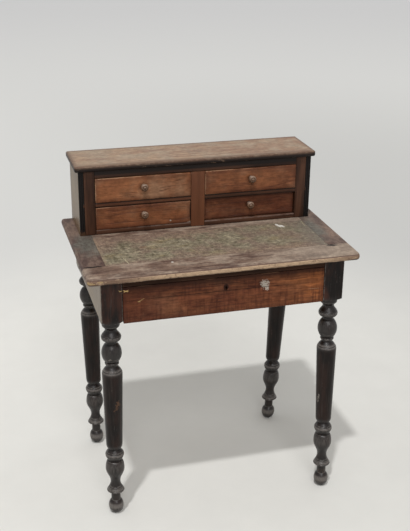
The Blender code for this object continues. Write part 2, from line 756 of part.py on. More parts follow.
def keyhole(front, parent):
    """A round hole with a slot below it, through the drawer front into the lock's place."""
    case = lock_box()
    level = case.z[1] - KEYHOLE_DROP
    length = case.y[0] - BLOCK_FRONT + 2 * OVERLAP
    half = KEYHOLE_SLOT_WIDTH / 2
    form = bmesh.new()
    bmesh.ops.create_cone(form, cap_ends=True, segments=KEYHOLE_SIDES, radius1=KEYHOLE_RADIUS,
                          radius2=KEYHOLE_RADIUS, depth=length)
    place_at = (0.0, BLOCK_FRONT - OVERLAP + length / 2, level)
    hole = as_cutter(place("keyhole_round", as_mesh("keyhole_round", form), tools, place_at, parent))
    hole.rotation_euler.x = pi / 2
    slot = Box((-half, half), (BLOCK_FRONT - OVERLAP, case.y[0] + OVERLAP),
               (level - KEYHOLE_SLOT_LENGTH, level))
    cut(front, hole, box_tool("keyhole_slot", slot, parent))


def main_drawer():
    """The wide drawer under the top, with its lock."""
    reach = BLOCK_INNER - SLIDE_GAP
    stock = DrawerStock(MAIN_FRONT_THICK, MAIN_SIDE_THICK, MAIN_BACK_THICK, MAIN_BACK_INSET,
                        MAIN_BOTTOM_THICK, MAIN_SIDE_DROP, MAIN_BOTTOM_RISE, MAIN_GROOVE_DEPTH,
                        MAIN_TAIL_LENGTH, MAIN_TAILS)
    front_box = Box((-reach, reach), (BLOCK_FRONT, BLOCK_FRONT + MAIN_FRONT_THICK),
                    (APRON_BOTTOM, FRONT_RAIL_BOTTOM - HEAD_GAP))
    parent = carrier("main_drawer", (0.0, BLOCK_FRONT, APRON_BOTTOM))
    rear = BACK_RAIL_INNER - MAIN_BACK_SPACE
    front = drawer("main_drawer", stock, front_box, RUNNER_TOP + FIT_GAP, rear, mahogany, parent)

    case = lock_box()
    recess = grown(case)
    recess_box = Box(recess.x, (recess.y[0], case.y[1] + OVERLAP), (recess.z[0], case.z[1] + OVERLAP))
    cut(front, box_tool("lock_recess", recess_box, parent))
    keyhole(front, parent)

    bolt = bolt_box()
    channel = grown(bolt)
    channel_box = Box(channel.x, channel.y, (channel.z[0], case.z[1] + OVERLAP))
    cut(board("lock_case", case, iron, parent), box_tool("bolt_channel", channel_box, parent))
    board("lock_bolt", bolt, iron, parent)


# Upper case

def stile_box():
    """The right-hand front stile."""
    return Box((STILE_INNER, STILE_OUTER), (CASE_FRONT, STILE_REAR), (CASE_FLOOR, CASE_CEILING - FIT_GAP))


def centre_stile_box():
    """The stile between the left and right drawers."""
    return Box((-CENTRE_EDGE, CENTRE_EDGE), (CASE_FRONT, STILE_REAR), (CASE_FLOOR, UPPER_HEAD - FIT_GAP))


def centre_tenon_box():
    """The tenon on top of the centre stile."""
    stile = centre_stile_box()
    middle = (CASE_FRONT + STILE_REAR) / 2
    half = STILE_TENON_THICK / 2
    return Box((-CENTRE_EDGE / 2, CENTRE_EDGE / 2), (middle - half, middle + half),
               (stile.z[1] - OVERLAP, stile.z[1] + STILE_TENON_LENGTH))


def top_rail_boxes():
    """The rail over the upper drawers, and the tenon that runs through it into both stiles."""
    reach = STILE_INNER - FIT_GAP
    middle = (CASE_FRONT + STILE_REAR) / 2
    half = STILE_TENON_THICK / 2
    level = (UPPER_HEAD, CASE_CEILING - FIT_GAP)
    rail = Box((-reach, reach), (CASE_FRONT, STILE_REAR), level)
    tenon = Box((-reach - STILE_TENON_LENGTH, reach + STILE_TENON_LENGTH), (middle - half, middle + half),
                (level[0] + STILE_TENON_THICK, level[1] - STILE_TENON_THICK))
    return rail, tenon


def shelf_box():
    """The right-hand shelf between the drawers, housed in the case side and in the partition."""
    return Box((PARTITION_FACE - HOUSING_DEPTH + FIT_GAP, CASE_INNER + HOUSING_DEPTH - FIT_GAP),
               (CASE_FRONT, CASE_BACK_INNER - FIT_GAP), (LOWER_HEAD, UPPER_SILL))


def guide_boxes(sill):
    """The strips beside a right-hand drawer that keep it straight."""
    depth = (STILE_REAR + FIT_GAP, CASE_BACK_INNER - FIT_GAP)
    level = (sill - OVERLAP, sill + GUIDE_HEIGHT)
    outer = Box((STILE_INNER, STILE_OUTER), depth, level)
    inner = Box((PARTITION_FACE + FIT_GAP, CENTRE_EDGE), depth, level)
    return outer, inner


def reed_quirks(side):
    """Two fine grooves that make reeds of a case side's front edge."""
    third = CASE_SIDE_THICK / 3
    for line in (1, 2):
        across = CASE_INNER + line * third
        half = REED_QUIRK_WIDTH / 2
        quirk = Box((across - half, across + half), (CASE_FRONT - OVERLAP, CASE_FRONT + REED_QUIRK_DEPTH),
                    (CASE_FLOOR - OVERLAP, CASE_CEILING + OVERLAP))
        yield on_side(quirk, side)


def upper_case():
    """The carcase of the four small drawers, standing on the back of the writing top."""
    height = (CASE_FLOOR, CASE_CEILING - FIT_GAP)
    depth = (CASE_FRONT, BACK)
    behind_stiles = (STILE_REAR + FIT_GAP, CASE_BACK_INNER - FIT_GAP)
    centre_room = box_tool("centre_stile_room", grown(centre_stile_box()))

    top_rail_box, top_tenon_box = top_rail_boxes()
    top_rail = board("case_top_rail", top_rail_box, dark_walnut)
    join(top_rail, box_tool("case_top_rail_tenon", top_tenon_box))
    cut(top_rail, box_tool("centre_tenon_mortise", grown(centre_tenon_box())))
    stile_mortise = box_tool("case_stile_mortise", grown(top_tenon_box))
    centre_stile = board("case_centre_stile", centre_stile_box(), dark_walnut)
    join(centre_stile, box_tool("centre_tenon", centre_tenon_box()))

    back = Box((FIT_GAP - CASE_INNER, CASE_INNER - FIT_GAP), (CASE_BACK_INNER, BACK), height)
    board("case_back", back, plain_wood)
    bottom_box = Box(back.x, (CASE_FRONT, behind_stiles[1]), (CASE_FLOOR, LOWER_SILL))
    bottom = board("case_bottom", bottom_box, dark_walnut)
    cut(bottom, centre_room)
    partition_box = Box((-PARTITION_FACE, PARTITION_FACE), behind_stiles, (LOWER_SILL + FIT_GAP, height[1]))
    partition = board("case_partition", partition_box, plain_wood)

    for side, label in ((-1, "left"), (1, "right")):
        side_box = on_side(Box((CASE_INNER, CASE_OUTER), depth, height), side)
        side_board = board(f"case_side_{label}", side_box, dark_walnut)
        quirks = [box_tool(f"reed_quirk_{label}_{n}", box) for n, box in enumerate(reed_quirks(side))]
        shelf_room = box_tool(f"shelf_room_{label}", on_side(grown(shelf_box()), side))
        stile_room = box_tool(f"stile_room_{label}", on_side(grown(stile_box()), side))
        cut(side_board, shelf_room, *quirks)
        cut(partition, shelf_room)
        cut(board(f"case_stile_{label}", on_side(stile_box(), side), dark_walnut), stile_mortise)
        shelf = board(f"case_shelf_{label}", on_side(shelf_box(), side), dark_walnut)
        cut(shelf, stile_room, centre_room)
        cut(bottom, stile_room)
        for carrying, sill in ((shelf, UPPER_SILL), (bottom, LOWER_SILL)):
            for number, guide in enumerate(guide_boxes(sill)):
                join(carrying, box_tool(f"{carrying.name}_guide_{label}_{number}", on_side(guide, side)))

    def nosed_front(p, half, near):
        return p.y < half.y - near

    reach = CASE_OUTER + CASE_TOP_OVERHANG_SIDE
    top_box = Box((-reach, reach), (CASE_FRONT - CASE_TOP_OVERHANG_FRONT, BACK),
                  (CASE_CEILING, CASE_CEILING + CASE_TOP_THICK))
    nosed_board("case_top", top_box, worn_walnut, CASE_TOP_NOSE, CASE_TOP_CORNER_RADIUS, nosed_front)


# Small drawers

def knob(name, x, face, level, front, parent):
    """A turned knob, glued by its spigot into a drilled drawer front."""
    piece = turned(name, knob_profile(), KNOB_SIDES, desk, (x, face, level), parent)
    piece.rotation_euler.x = pi / 2
    piece.data.materials.append(knob_wood)
    length = KNOB_SPIGOT_LENGTH + FIT_GAP + OVERLAP
    form = bmesh.new()
    bmesh.ops.create_cone(form, cap_ends=True, segments=KNOB_SIDES, radius1=KNOB_SPIGOT_RADIUS + FIT_GAP,
                          radius2=KNOB_SPIGOT_RADIUS + FIT_GAP, depth=length)
    drill_at = (x, face - OVERLAP + length / 2, level)
    drill = as_cutter(place(f"{name}_drill", as_mesh(f"{name}_drill", form), tools, drill_at, parent))
    drill.rotation_euler.x = pi / 2
    cut(front, drill)


def small_drawer(name, side, sill, head, proud):
    """One of the four small drawers with its knob."""
    stock = DrawerStock(SMALL_FRONT_THICK, SMALL_SIDE_THICK, SMALL_BACK_THICK, SMALL_BACK_INSET,
                        SMALL_BOTTOM_THICK, SMALL_SIDE_DROP, SMALL_BOTTOM_RISE, SMALL_GROOVE_DEPTH,
                        SMALL_TAIL_LENGTH, SMALL_TAILS)
    face = CASE_FRONT - proud
    level = (sill + FIT_GAP, head - HEAD_GAP)
    front_box = on_side(Box((CENTRE_EDGE + SLIDE_GAP, STILE_INNER - SLIDE_GAP),
                            (face, face + SMALL_FRONT_THICK), level), side)
    middle = (front_box.x[0] + front_box.x[1]) / 2
    parent = carrier(name, (middle, face, level[0]))
    front = drawer(name, stock, front_box, level[0], SMALL_DRAWER_REAR - proud, mahogany, parent)
    knob(f"{name}_knob", middle, face, (level[0] + level[1]) / 2 + KNOB_RAISE, front, parent)


def small_drawers():
    """The four small drawers at the rest that the old desk shows."""
    small_drawer("drawer_upper_left", -1, UPPER_SILL, UPPER_HEAD, UPPER_DRAWER_PROUD)
    small_drawer("drawer_upper_right", 1, UPPER_SILL, UPPER_HEAD, UPPER_DRAWER_PROUD)
    small_drawer("drawer_lower_left", -1, LOWER_SILL, LOWER_HEAD, 0.0)
    small_drawer("drawer_lower_right", 1, LOWER_SILL, LOWER_HEAD, -LOWER_RIGHT_RECESS)


for leftover in list(bpy.data.objects):
    bpy.data.objects.remove(leftover)

desk = new_collection("childs_writing_desk")
tools = new_collection("shaping_tools")

mahogany = finish("mahogany", (0.190, 0.066, 0.030), 0.45)
dark_walnut = finish("dark_walnut", (0.070, 0.036, 0.024), 0.45)
worn_walnut = finish("worn_walnut", (0.150, 0.100, 0.080), 0.60)
ebonised = finish("ebonised_wood", (0.018, 0.013, 0.011), 0.40)
plain_wood = finish("plain_wood", (0.330, 0.210, 0.110), 0.70)
knob_wood = finish("knob_wood", (0.150, 0.085, 0.055), 0.45)
leather = finish("worn_leather", (0.160, 0.150, 0.095), 0.75)
iron = finish("iron", (0.130, 0.115, 0.100), 0.55, 1.0)

writing_top()
base()
main_drawer()
upper_case()
small_drawers()
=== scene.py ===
# Childrens desk: the finish of every piece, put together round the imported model.

import json
import math

import bmesh
import bpy
from mathutils import Euler, Matrix, Vector, noise

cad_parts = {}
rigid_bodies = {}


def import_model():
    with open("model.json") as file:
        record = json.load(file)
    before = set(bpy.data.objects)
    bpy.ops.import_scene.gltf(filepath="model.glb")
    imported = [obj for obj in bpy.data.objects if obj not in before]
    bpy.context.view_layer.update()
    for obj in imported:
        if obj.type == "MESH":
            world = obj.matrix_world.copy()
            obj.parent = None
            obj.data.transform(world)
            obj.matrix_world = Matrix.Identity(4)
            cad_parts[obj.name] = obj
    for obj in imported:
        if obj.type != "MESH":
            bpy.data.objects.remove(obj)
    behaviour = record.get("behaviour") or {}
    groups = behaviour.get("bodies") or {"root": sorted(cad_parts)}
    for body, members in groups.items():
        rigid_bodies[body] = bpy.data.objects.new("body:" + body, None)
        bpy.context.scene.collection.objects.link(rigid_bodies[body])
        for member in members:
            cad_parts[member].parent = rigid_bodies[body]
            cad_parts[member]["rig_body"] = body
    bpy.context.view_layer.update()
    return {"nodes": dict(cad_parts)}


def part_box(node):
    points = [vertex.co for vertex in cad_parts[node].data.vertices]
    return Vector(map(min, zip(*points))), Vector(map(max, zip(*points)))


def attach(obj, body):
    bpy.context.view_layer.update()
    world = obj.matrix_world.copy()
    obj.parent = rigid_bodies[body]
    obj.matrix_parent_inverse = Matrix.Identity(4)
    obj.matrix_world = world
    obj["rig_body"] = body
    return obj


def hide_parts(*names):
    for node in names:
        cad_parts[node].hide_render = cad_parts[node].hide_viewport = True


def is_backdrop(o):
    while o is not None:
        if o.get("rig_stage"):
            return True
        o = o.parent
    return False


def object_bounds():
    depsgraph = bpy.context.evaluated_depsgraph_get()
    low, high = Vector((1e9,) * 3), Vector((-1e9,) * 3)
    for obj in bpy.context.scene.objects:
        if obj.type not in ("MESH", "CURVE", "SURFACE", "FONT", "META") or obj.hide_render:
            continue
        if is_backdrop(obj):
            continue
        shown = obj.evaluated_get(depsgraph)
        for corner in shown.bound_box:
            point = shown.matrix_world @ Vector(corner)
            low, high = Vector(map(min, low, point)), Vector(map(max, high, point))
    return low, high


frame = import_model()


# Legs
# Four legs, each turned from one square stick of close-grained wood, grooved on the lathe and stained black.
# The top of the stick stays square as a block for the rails' tenons. The stain has rubbed grey on the
# crests, with painted sheen on the bellies and painted shade on the undersides, and brown or tan elsewhere.

MERGE_GAP = 1e-5
SMOOTH_ANGLE = math.radians(38)
CREST_RADIUS = 0.0025

BLOCK_SIDE = 0.046
BLOCK_REACH = 0.0335
BLOCK_SQUARENESS = 26
BLOCK_ROWS = 14
BLOCK_FOOT = 0.4857
SHOULDER_RADIUS = 0.0212
SHOULDER_ROWS = 10
LEG_STEPS = 96
LEG_WEAR = 0.0004
LEG_DENT = 0.006

GROOVE_LEVELS = (0.4530, 0.4470, 0.3975, 0.3678, 0.1610, 0.1545, 0.0712, 0.0668, 0.0625)
GROOVE_DEPTH = 0.0007
GROOVE_HALF_WIDTH = 0.0011

COLUMN_HEAD = 0.3605
COLUMN_FOOT = 0.1820
COLUMN_FADE = 0.004

EBONY_SHINE = 0.42
BLOCK_SHINE = 0.20
EBONY_BLACK = (0.0090, 0.0060, 0.0052)
EBONY_WARM = (0.040, 0.0150, 0.0095)
EBONY_FIBRE = (0.041, 0.0345, 0.0305)
EBONY_RUBBED_AND_SHEEN = (0.150, 0.133, 0.121)
EBONY_DUST = (0.235, 0.215, 0.190)
BARE_BROWN = (0.105, 0.052, 0.028)
SCUFF_PALE = (0.26, 0.23, 0.20)
SPLINTER = (0.62, 0.42, 0.18)
SIDE_TAN = (0.264, 0.189, 0.107)
SIDE_BROWN = (0.165, 0.100, 0.054)

# The level and half height of each rubbed ring, and the same with a share for each belly, whose grey is
# partly wear and partly painted sheen.
RUBBED_RINGS = ((0.4475, 0.0030), (0.3680, 0.0064), (0.1570, 0.0052), (0.0655, 0.0048), (0.0215, 0.0080))
WORN_AND_SHEEN_BELLIES = ((0.4180, 0.0200, 0.14), (0.1265, 0.0190, 0.33), (0.0165, 0.0170, 0.33))
DUSTY_LEVELS = (0.10, 0.06)
BLOCK_STAIN = (BLOCK_FOOT - 0.004, BLOCK_FOOT + 0.012)
BLOCK_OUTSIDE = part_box("leg_front_right")[1].x
BLOCK_FADED = (BLOCK_OUTSIDE - 0.0007, BLOCK_OUTSIDE - 0.0002)
PLANK_SHIFT = (1.31, 2.17, 0.73)
PATTERN_SPAN = (0.3, 0.7)

# Each mark's centre, reach, turn, colour and share.
LEG_MARKS = (
    ((-0.2400, -0.168, 0.290), (0.0060, 0.012, 0.012), 0.0, BARE_BROWN, 0.85),
    ((-0.2450, -0.168, 0.281), (0.0050, 0.012, 0.010), 0.5, BARE_BROWN, 0.70),
    ((0.2475, -0.168, 0.040), (0.014, 0.020, 0.008), 0.0, BARE_BROWN, 0.35),
    ((0.2296, -0.166, 0.239), (0.0013, 0.012, 0.014), 0.05, SCUFF_PALE, 0.8),
    ((-0.2544, -0.166, 0.402), (0.004, 0.010, 0.003), 0.0, SCUFF_PALE, 0.5),
    ((-0.2275, -0.171, 0.5602), (0.0055, 0.010, 0.0012), 0.42, SPLINTER, 1.0),
    ((-0.2285, -0.171, 0.5606), (0.0050, 0.010, 0.0011), -0.42, SPLINTER, 1.0),
)


def straight(t, start, end):
    """A plain taper."""
    return start + (end - start) * t


def ease(t, start, end):
    """A soft double curve from one radius to the other."""
    return start + (end - start) * (1 - math.cos(math.pi * t)) / 2


def round_out(t, start, end):
    """A quarter round that leaves a neck square to the axis and ends along it."""
    return start + (end - start) * math.sqrt(1 - (1 - t) ** 2)


def slope_out(t, start, end):
    """A shoulder that leaves a neck at a slant and ends along the axis."""
    return start + (end - start) * math.sin(math.pi / 2 * t)


def round_in(t, start, end):
    """A quarter round that starts along the axis and ends square to it."""
    return end + (start - end) * math.sqrt(1 - t ** 2)


def swell(t, start, belly, end):
    """A bead: half an ellipse out to the belly and back."""
    side = start if t < 0.5 else end
    return side + (belly - side) * 2 * math.sqrt(t * (1 - t))


def bulge(t, start, belly, end):
    """A ball: the part of an ellipse between a neck above its belly and an end below it."""
    upper, lower = math.acos(start / belly), math.acos(end / belly)
    rise = math.sin(upper) - (math.sin(upper) + math.sin(lower)) * t
    return belly * math.sqrt(1 - rise ** 2)


def double_cone(t, start, belly, end):
    """A ring of two blunt cones, base to base."""
    side = start if t < 0.5 else end
    return side + (belly - side) * (1 - abs(2 * t - 1) ** 1.5)


def bell(t, start, belly, end, lip=0.82):
    """A flare down to a lip that is rounded underneath."""
    if t < lip:
        return start + (belly - start) * (t / lip) ** 1.6
    return end + (belly - end) * math.sqrt(1 - ((t - lip) / (1 - lip)) ** 2)


# Each turning from the block down: its height, its rows of points, its curve, and the radii it joins.
TURNINGS = (
    (0.0085, 4, straight, 0.0195, 0.0195),
    (0.0105, 8, ease, 0.0195, 0.0126),
    (0.0185, 10, ease, 0.0126, 0.0218),
    (0.0090, 9, round_in, 0.0218, 0.0118),
    (0.0055, 3, straight, 0.0118, 0.0118),
    (0.0447, 20, bulge, 0.0118, 0.0221, 0.0135),
    (0.0070, 8, swell, 0.0135, 0.0156, 0.0116),
    (0.0035, 2, straight, 0.0116, 0.0116),
    (0.0180, 10, slope_out, 0.0116, 0.0225),
    (0.1785, 30, straight, 0.0225, 0.0182),
    (0.0110, 9, round_in, 0.0182, 0.0120),
    (0.0015, 2, straight, 0.0120, 0.0120),
    (0.0280, 14, double_cone, 0.0120, 0.0212, 0.0150),
    (0.0020, 2, straight, 0.0150, 0.0150),
    (0.0210, 12, round_out, 0.0150, 0.0212),
    (0.0337, 14, ease, 0.0212, 0.0111),
    (0.0030, 2, straight, 0.0111, 0.0111),
    (0.0258, 16, bell, 0.0111, 0.0200, 0.0106),
    (0.0218, 5, straight, 0.0106, 0.0106),
    (0.0342, 18, bulge, 0.0106, 0.0171, 0.0065),
)


def turned_points():
    """The turned part's outline from the block down, as (radius, level), with each incised groove."""
    outline = []
    top = BLOCK_FOOT
    for height, rows, curve, *radii in TURNINGS:
        grooves = [level for level in GROOVE_LEVELS if top - height < level < top]
        shares = [(1 - math.cos(math.pi * row / rows)) / 2 for row in range(rows + 1)]
        shares += [(top - level + step * GROOVE_HALF_WIDTH) / height
                   for level in grooves for step in (-1, 0, 1)]
        for share in sorted(share for share in shares if 0 <= share <= 1):
            level = top - height * share
            cut = sum(max(0.0, 1 - abs(level - groove) / GROOVE_HALF_WIDTH) for groove in grooves)
            outline.append((curve(share, *radii) - GROOVE_DEPTH * cut, level))
        top -= height
    return outline


def block_points(top, rounding):
    """The block's outline from its top down to where the lathe rounded its corners off."""
    start = BLOCK_FOOT + rounding
    outline = [(BLOCK_REACH, top + (start - top) * row / BLOCK_ROWS) for row in range(BLOCK_ROWS + 1)]
    for row in range(1, SHOULDER_ROWS + 1):
        share = math.sin(math.pi / 2 * row / SHOULDER_ROWS)
        outline.append((round_in(share, BLOCK_REACH, SHOULDER_RADIUS), start - rounding * share))
    return outline


def spun(outline, steps):
    """Turns an outline that starts and ends on the Z axis into a closed form."""
    form = bmesh.new()
    points = [form.verts.new((radius, 0.0, level)) for radius, level in outline]
    lines = [form.edges.new(pair) for pair in zip(points, points[1:])]
    bmesh.ops.spin(form, geom=points + lines, cent=(0, 0, 0), axis=(0, 0, 1), angle=2 * math.pi,
                   steps=steps, use_merge=True)
    bmesh.ops.remove_doubles(form, verts=form.verts[:], dist=MERGE_GAP)
    bmesh.ops.recalc_face_normals(form, faces=form.faces[:])
    return form


def square_block(form):
    """Presses the spun block back to the square stick, with its corners a little worn."""
    for point in form.verts:
        radius = point.co.xy.length
        if point.co.z < BLOCK_FOOT or radius < MERGE_GAP:
            continue
        across, along = abs(point.co.x) / radius, abs(point.co.y) / radius
        spread = (across ** BLOCK_SQUARENESS + along ** BLOCK_SQUARENESS) ** (1 / BLOCK_SQUARENESS)
        limit = BLOCK_SIDE / 2 / spread
        if radius > limit:
            point.co.xy *= limit / radius


def lean(form, creep):
    """Slants what is under the block so that the foot stands aside by the creep."""
    for point in form.verts:
        point.co.xy += Vector(creep) * max(0.0, BLOCK_FOOT - point.co.z) / BLOCK_FOOT


def mark_crests(form):
    """Notes on each point how sharply the form bulges there, from 1 down to -1 in a hollow."""
    crest = form.verts.layers.float.new("crest")
    form.normal_update()
    for point in form.verts:
        outward = 0.0
        for edge in point.link_edges:
            way = edge.other_vert(point).co - point.co
            outward -= 2 * way.dot(point.normal) / max(way.length_squared, MERGE_GAP ** 2)
        outward *= CREST_RADIUS / max(1, len(point.link_edges))
        point[crest] = max(-1.0, min(1.0, outward))


def rub_down(form, depth, dent, seed):
    """Wears the crests back by up to the depth, in uneven dents of about the given length."""
    crest = form.verts.layers.float["crest"]
    for point in form.verts:
        worn = max(0.0, point[crest]) * (0.5 + 0.5 * noise.noise(point.co / dent + Vector((seed, 0, 0))))
        point.co -= point.normal * depth * worn


def finish_piece(node, form, material, plank=0.0, fade=0.0):
    """Makes the form a piece that stands for the node, on the node's body and in its material slot."""
    for label, value in (("plank", plank), ("fade", fade)):
        layer = form.verts.layers.float.new(label)
        for point in form.verts:
            point[layer] = value
    mesh = bpy.data.meshes.new(node + "_finished")
    form.to_mesh(mesh)
    form.free()
    mesh.shade_smooth()
    mesh.set_sharp_from_angle(angle=SMOOTH_ANGLE)
    mesh.materials.append(material)
    piece = bpy.data.objects.new(mesh.name, mesh)
    bpy.context.scene.collection.objects.link(piece)
    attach(piece, frame["nodes"][node]["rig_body"])
    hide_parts(node)


def new_finish(name):
    """An empty material, its node tree and its surface shader."""
    material = bpy.data.materials.new(name)
    material.use_nodes = True
    return material, material.node_tree, material.node_tree.nodes["Principled BSDF"]


def add(tree, kind, inputs, output=0, **settings):
    """Adds a node, sets or joins its inputs, and gives one of its outputs."""
    made = tree.nodes.new("ShaderNode" + kind)
    for name, value in settings.items():
        setattr(made, name, value)
    for key, value in inputs.items():
        if isinstance(value, bpy.types.NodeSocket):
            tree.links.new(value, made.inputs[key])
        else:
            made.inputs[key].default_value = value
    return made.outputs[output]


def own(tree, label, output="Fac"):
    """A number that the mesh carries on its points."""
    return add(tree, "Attribute", {}, output, attribute_name=label)


def place(tree):
    """Where a point is on the desk, in metres."""
    return add(tree, "TexCoord", {}, "Object")


def axis_of(tree, axis):
    """One coordinate of the place."""
    return add(tree, "SeparateXYZ", {0: place(tree)}, axis)


def maths(tree, operation, first, second=0.0):
    """One step of arithmetic."""
    return add(tree, "Math", {0: first, 1: second}, operation=operation)


def band(tree, value, start, end):
    """A soft step from 0 at the start to 1 at the end."""
    return add(tree, "MapRange", {0: value, 1: start, 2: end}, interpolation_type="SMOOTHSTEP")


def times(tree, first, second):
    """Two shares, one within the other."""
    return maths(tree, "MULTIPLY", first, second)


def between(tree, value, start, end, low=0.0, high=1.0):
    """What goes evenly from the start to the end while a value goes from low to high."""
    return add(tree, "MapRange", {0: value, 1: low, 2: high, 3: start, 4: end})


def away(tree, value, middle):
    """How far a value is from a middle."""
    return maths(tree, "ABSOLUTE", maths(tree, "SUBTRACT", value, middle))


def shaken(tree, value, pattern, reach):
    """A value made uneven by a pattern, over the given reach."""
    return maths(tree, "ADD", value, times(tree, maths(tree, "SUBTRACT", pattern, 0.5), reach))


def mix(tree, share, first, second, blend="MIX"):
    """One colour over another by a share."""
    colours = [colour if isinstance(colour, bpy.types.NodeSocket) else (*colour, 1.0)
               for colour in (first, second)]
    return add(tree, "Mix", {0: share, 6: colours[0], 7: colours[1]}, 2, data_type="RGBA", blend_type=blend)


def clouds(tree, where, scale, detail=3.0, roughness=0.5):
    """Soft uneven patches, from 0 to 1."""
    return add(tree, "TexNoise", {"Vector": where, "Scale": scale, "Detail": detail, "Roughness": roughness})


def along_grain(tree, grain, along, across):
    """The place, drawn out along the grain and shifted from plank to plank, in features per metre."""
    scale = [along if axis == grain else across for axis in "XYZ"]
    shift = add(tree, "VectorMath", {0: own(tree, "plank", "Vector"), 1: PLANK_SHIFT}, operation="MULTIPLY")
    shifted = add(tree, "VectorMath", {0: place(tree), 1: shift}, operation="ADD")
    return add(tree, "Mapping", {"Vector": shifted, "Scale": scale})


def spot(tree, centre, reach, turn=(0, 0, 0), ragged=0.35, grit=400.0, soft=0.2):
    """A ragged mark round a place, 1 inside and 0 outside; turn sets it slanting, soft blurs its edge."""
    local = add(tree, "Mapping", {"Vector": place(tree), "Location": centre, "Rotation": turn,
                                  "Scale": reach}, vector_type="TEXTURE")
    far = add(tree, "VectorMath", {0: local}, "Value", operation="LENGTH")
    uneven = shaken(tree, far, clouds(tree, place(tree), grit), 4 * ragged)
    return band(tree, uneven, 1.0, 1.0 - soft)


def vary(tree, colour, pattern, low, high):
    """The colour made darker and lighter by a pattern, between two factors."""
    factor = between(tree, pattern, low, high, *PATTERN_SPAN)
    return mix(tree, 1.0, colour, factor, "MULTIPLY")


def laid(tree, colour, tone, where, share):
    """The colour with a tone laid over it where a pattern says, up to a share."""
    return mix(tree, times(tree, where, share), colour, tone)


def facing_up(tree):
    """How far the surface faces up, from 1 on top to -1 underneath."""
    return add(tree, "SeparateXYZ", {0: add(tree, "NewGeometry", {}, "Normal")}, "Z")


def bump(tree, height, depth):
    """A relief of the given depth in metres."""
    return add(tree, "Bump", {"Height": height, "Distance": depth, "Strength": 1.0}, "Normal")


def connect(tree, shader, **sockets):
    """Joins outputs to the shader's sockets, whose names have underscores for spaces here."""
    for name, value in sockets.items():
        tree.links.new(value, shader.inputs[name.replace("_", " ")])


def leg_parts(tree, level):
    """Where a leg is its block, its plain column, and its turnings."""
    block = band(tree, level, *BLOCK_STAIN)
    column = times(tree, band(tree, level, COLUMN_FOOT - COLUMN_FADE, COLUMN_FOOT + COLUMN_FADE),
                   band(tree, level, COLUMN_HEAD + COLUMN_FADE, COLUMN_HEAD - COLUMN_FADE))
    turned = maths(tree, "SUBTRACT", 1.0, maths(tree, "MAXIMUM", column, block))
    return block, column, turned


def worn_and_sheen_grey(tree, colour, level, streaks, speckle):
    """Lays grey on the bellies, partly wear and partly painted sheen, grey wear on the crests and rings, and
    keeps the grooves black.
    """
    # The grey on the bellies is partly wear and partly painted sheen.
    for middle, reach, share in WORN_AND_SHEEN_BELLIES:
        belly = band(tree, away(tree, level, middle), reach, 0.2 * reach)
        dull = times(tree, belly, band(tree, streaks, 0.30, 0.62))
        colour = laid(tree, colour, EBONY_RUBBED_AND_SHEEN, dull, share)
    scuffs = times(tree, band(tree, streaks, 0.60, 0.72), band(tree, speckle, 0.42, 0.60))
    colour = laid(tree, colour, EBONY_RUBBED_AND_SHEEN, scuffs, 0.3)
    worn = times(tree, band(tree, own(tree, "crest"), 0.13, 0.5), band(tree, speckle, 0.36, 0.62))
    for middle, reach in RUBBED_RINGS:
        ring = band(tree, away(tree, level, middle), reach, 0.3 * reach)
        worn = maths(tree, "MAXIMUM", worn, times(tree, ring, band(tree, speckle, 0.22, 0.54)))
    colour = laid(tree, colour, EBONY_RUBBED_AND_SHEEN, worn, 0.8)
    for groove in GROOVE_LEVELS:
        cut = band(tree, away(tree, level, groove), GROOVE_HALF_WIDTH, 0.4 * GROOVE_HALF_WIDTH)
        colour = laid(tree, colour, EBONY_BLACK, cut, 0.85)
    return colour


def shaded_undersides_black_hollows(tree, colour, level, speckle):
    """Lays painted shade on the undersides, keeps the hollows black, and puts dust in the hollows near the
    floor.
    """
    # Painted shade: faces that look down are darkened towards black.
    colour = laid(tree, colour, EBONY_BLACK, band(tree, facing_up(tree), -0.05, -0.65), 0.7)
    hollow = times(tree, band(tree, own(tree, "crest"), -0.10, -0.45), band(tree, speckle, 0.3, 0.55))
    colour = laid(tree, colour, EBONY_BLACK, hollow, 0.75)
    dusty = times(tree, hollow, band(tree, level, *DUSTY_LEVELS))
    return laid(tree, colour, EBONY_DUST, dusty, 0.45)


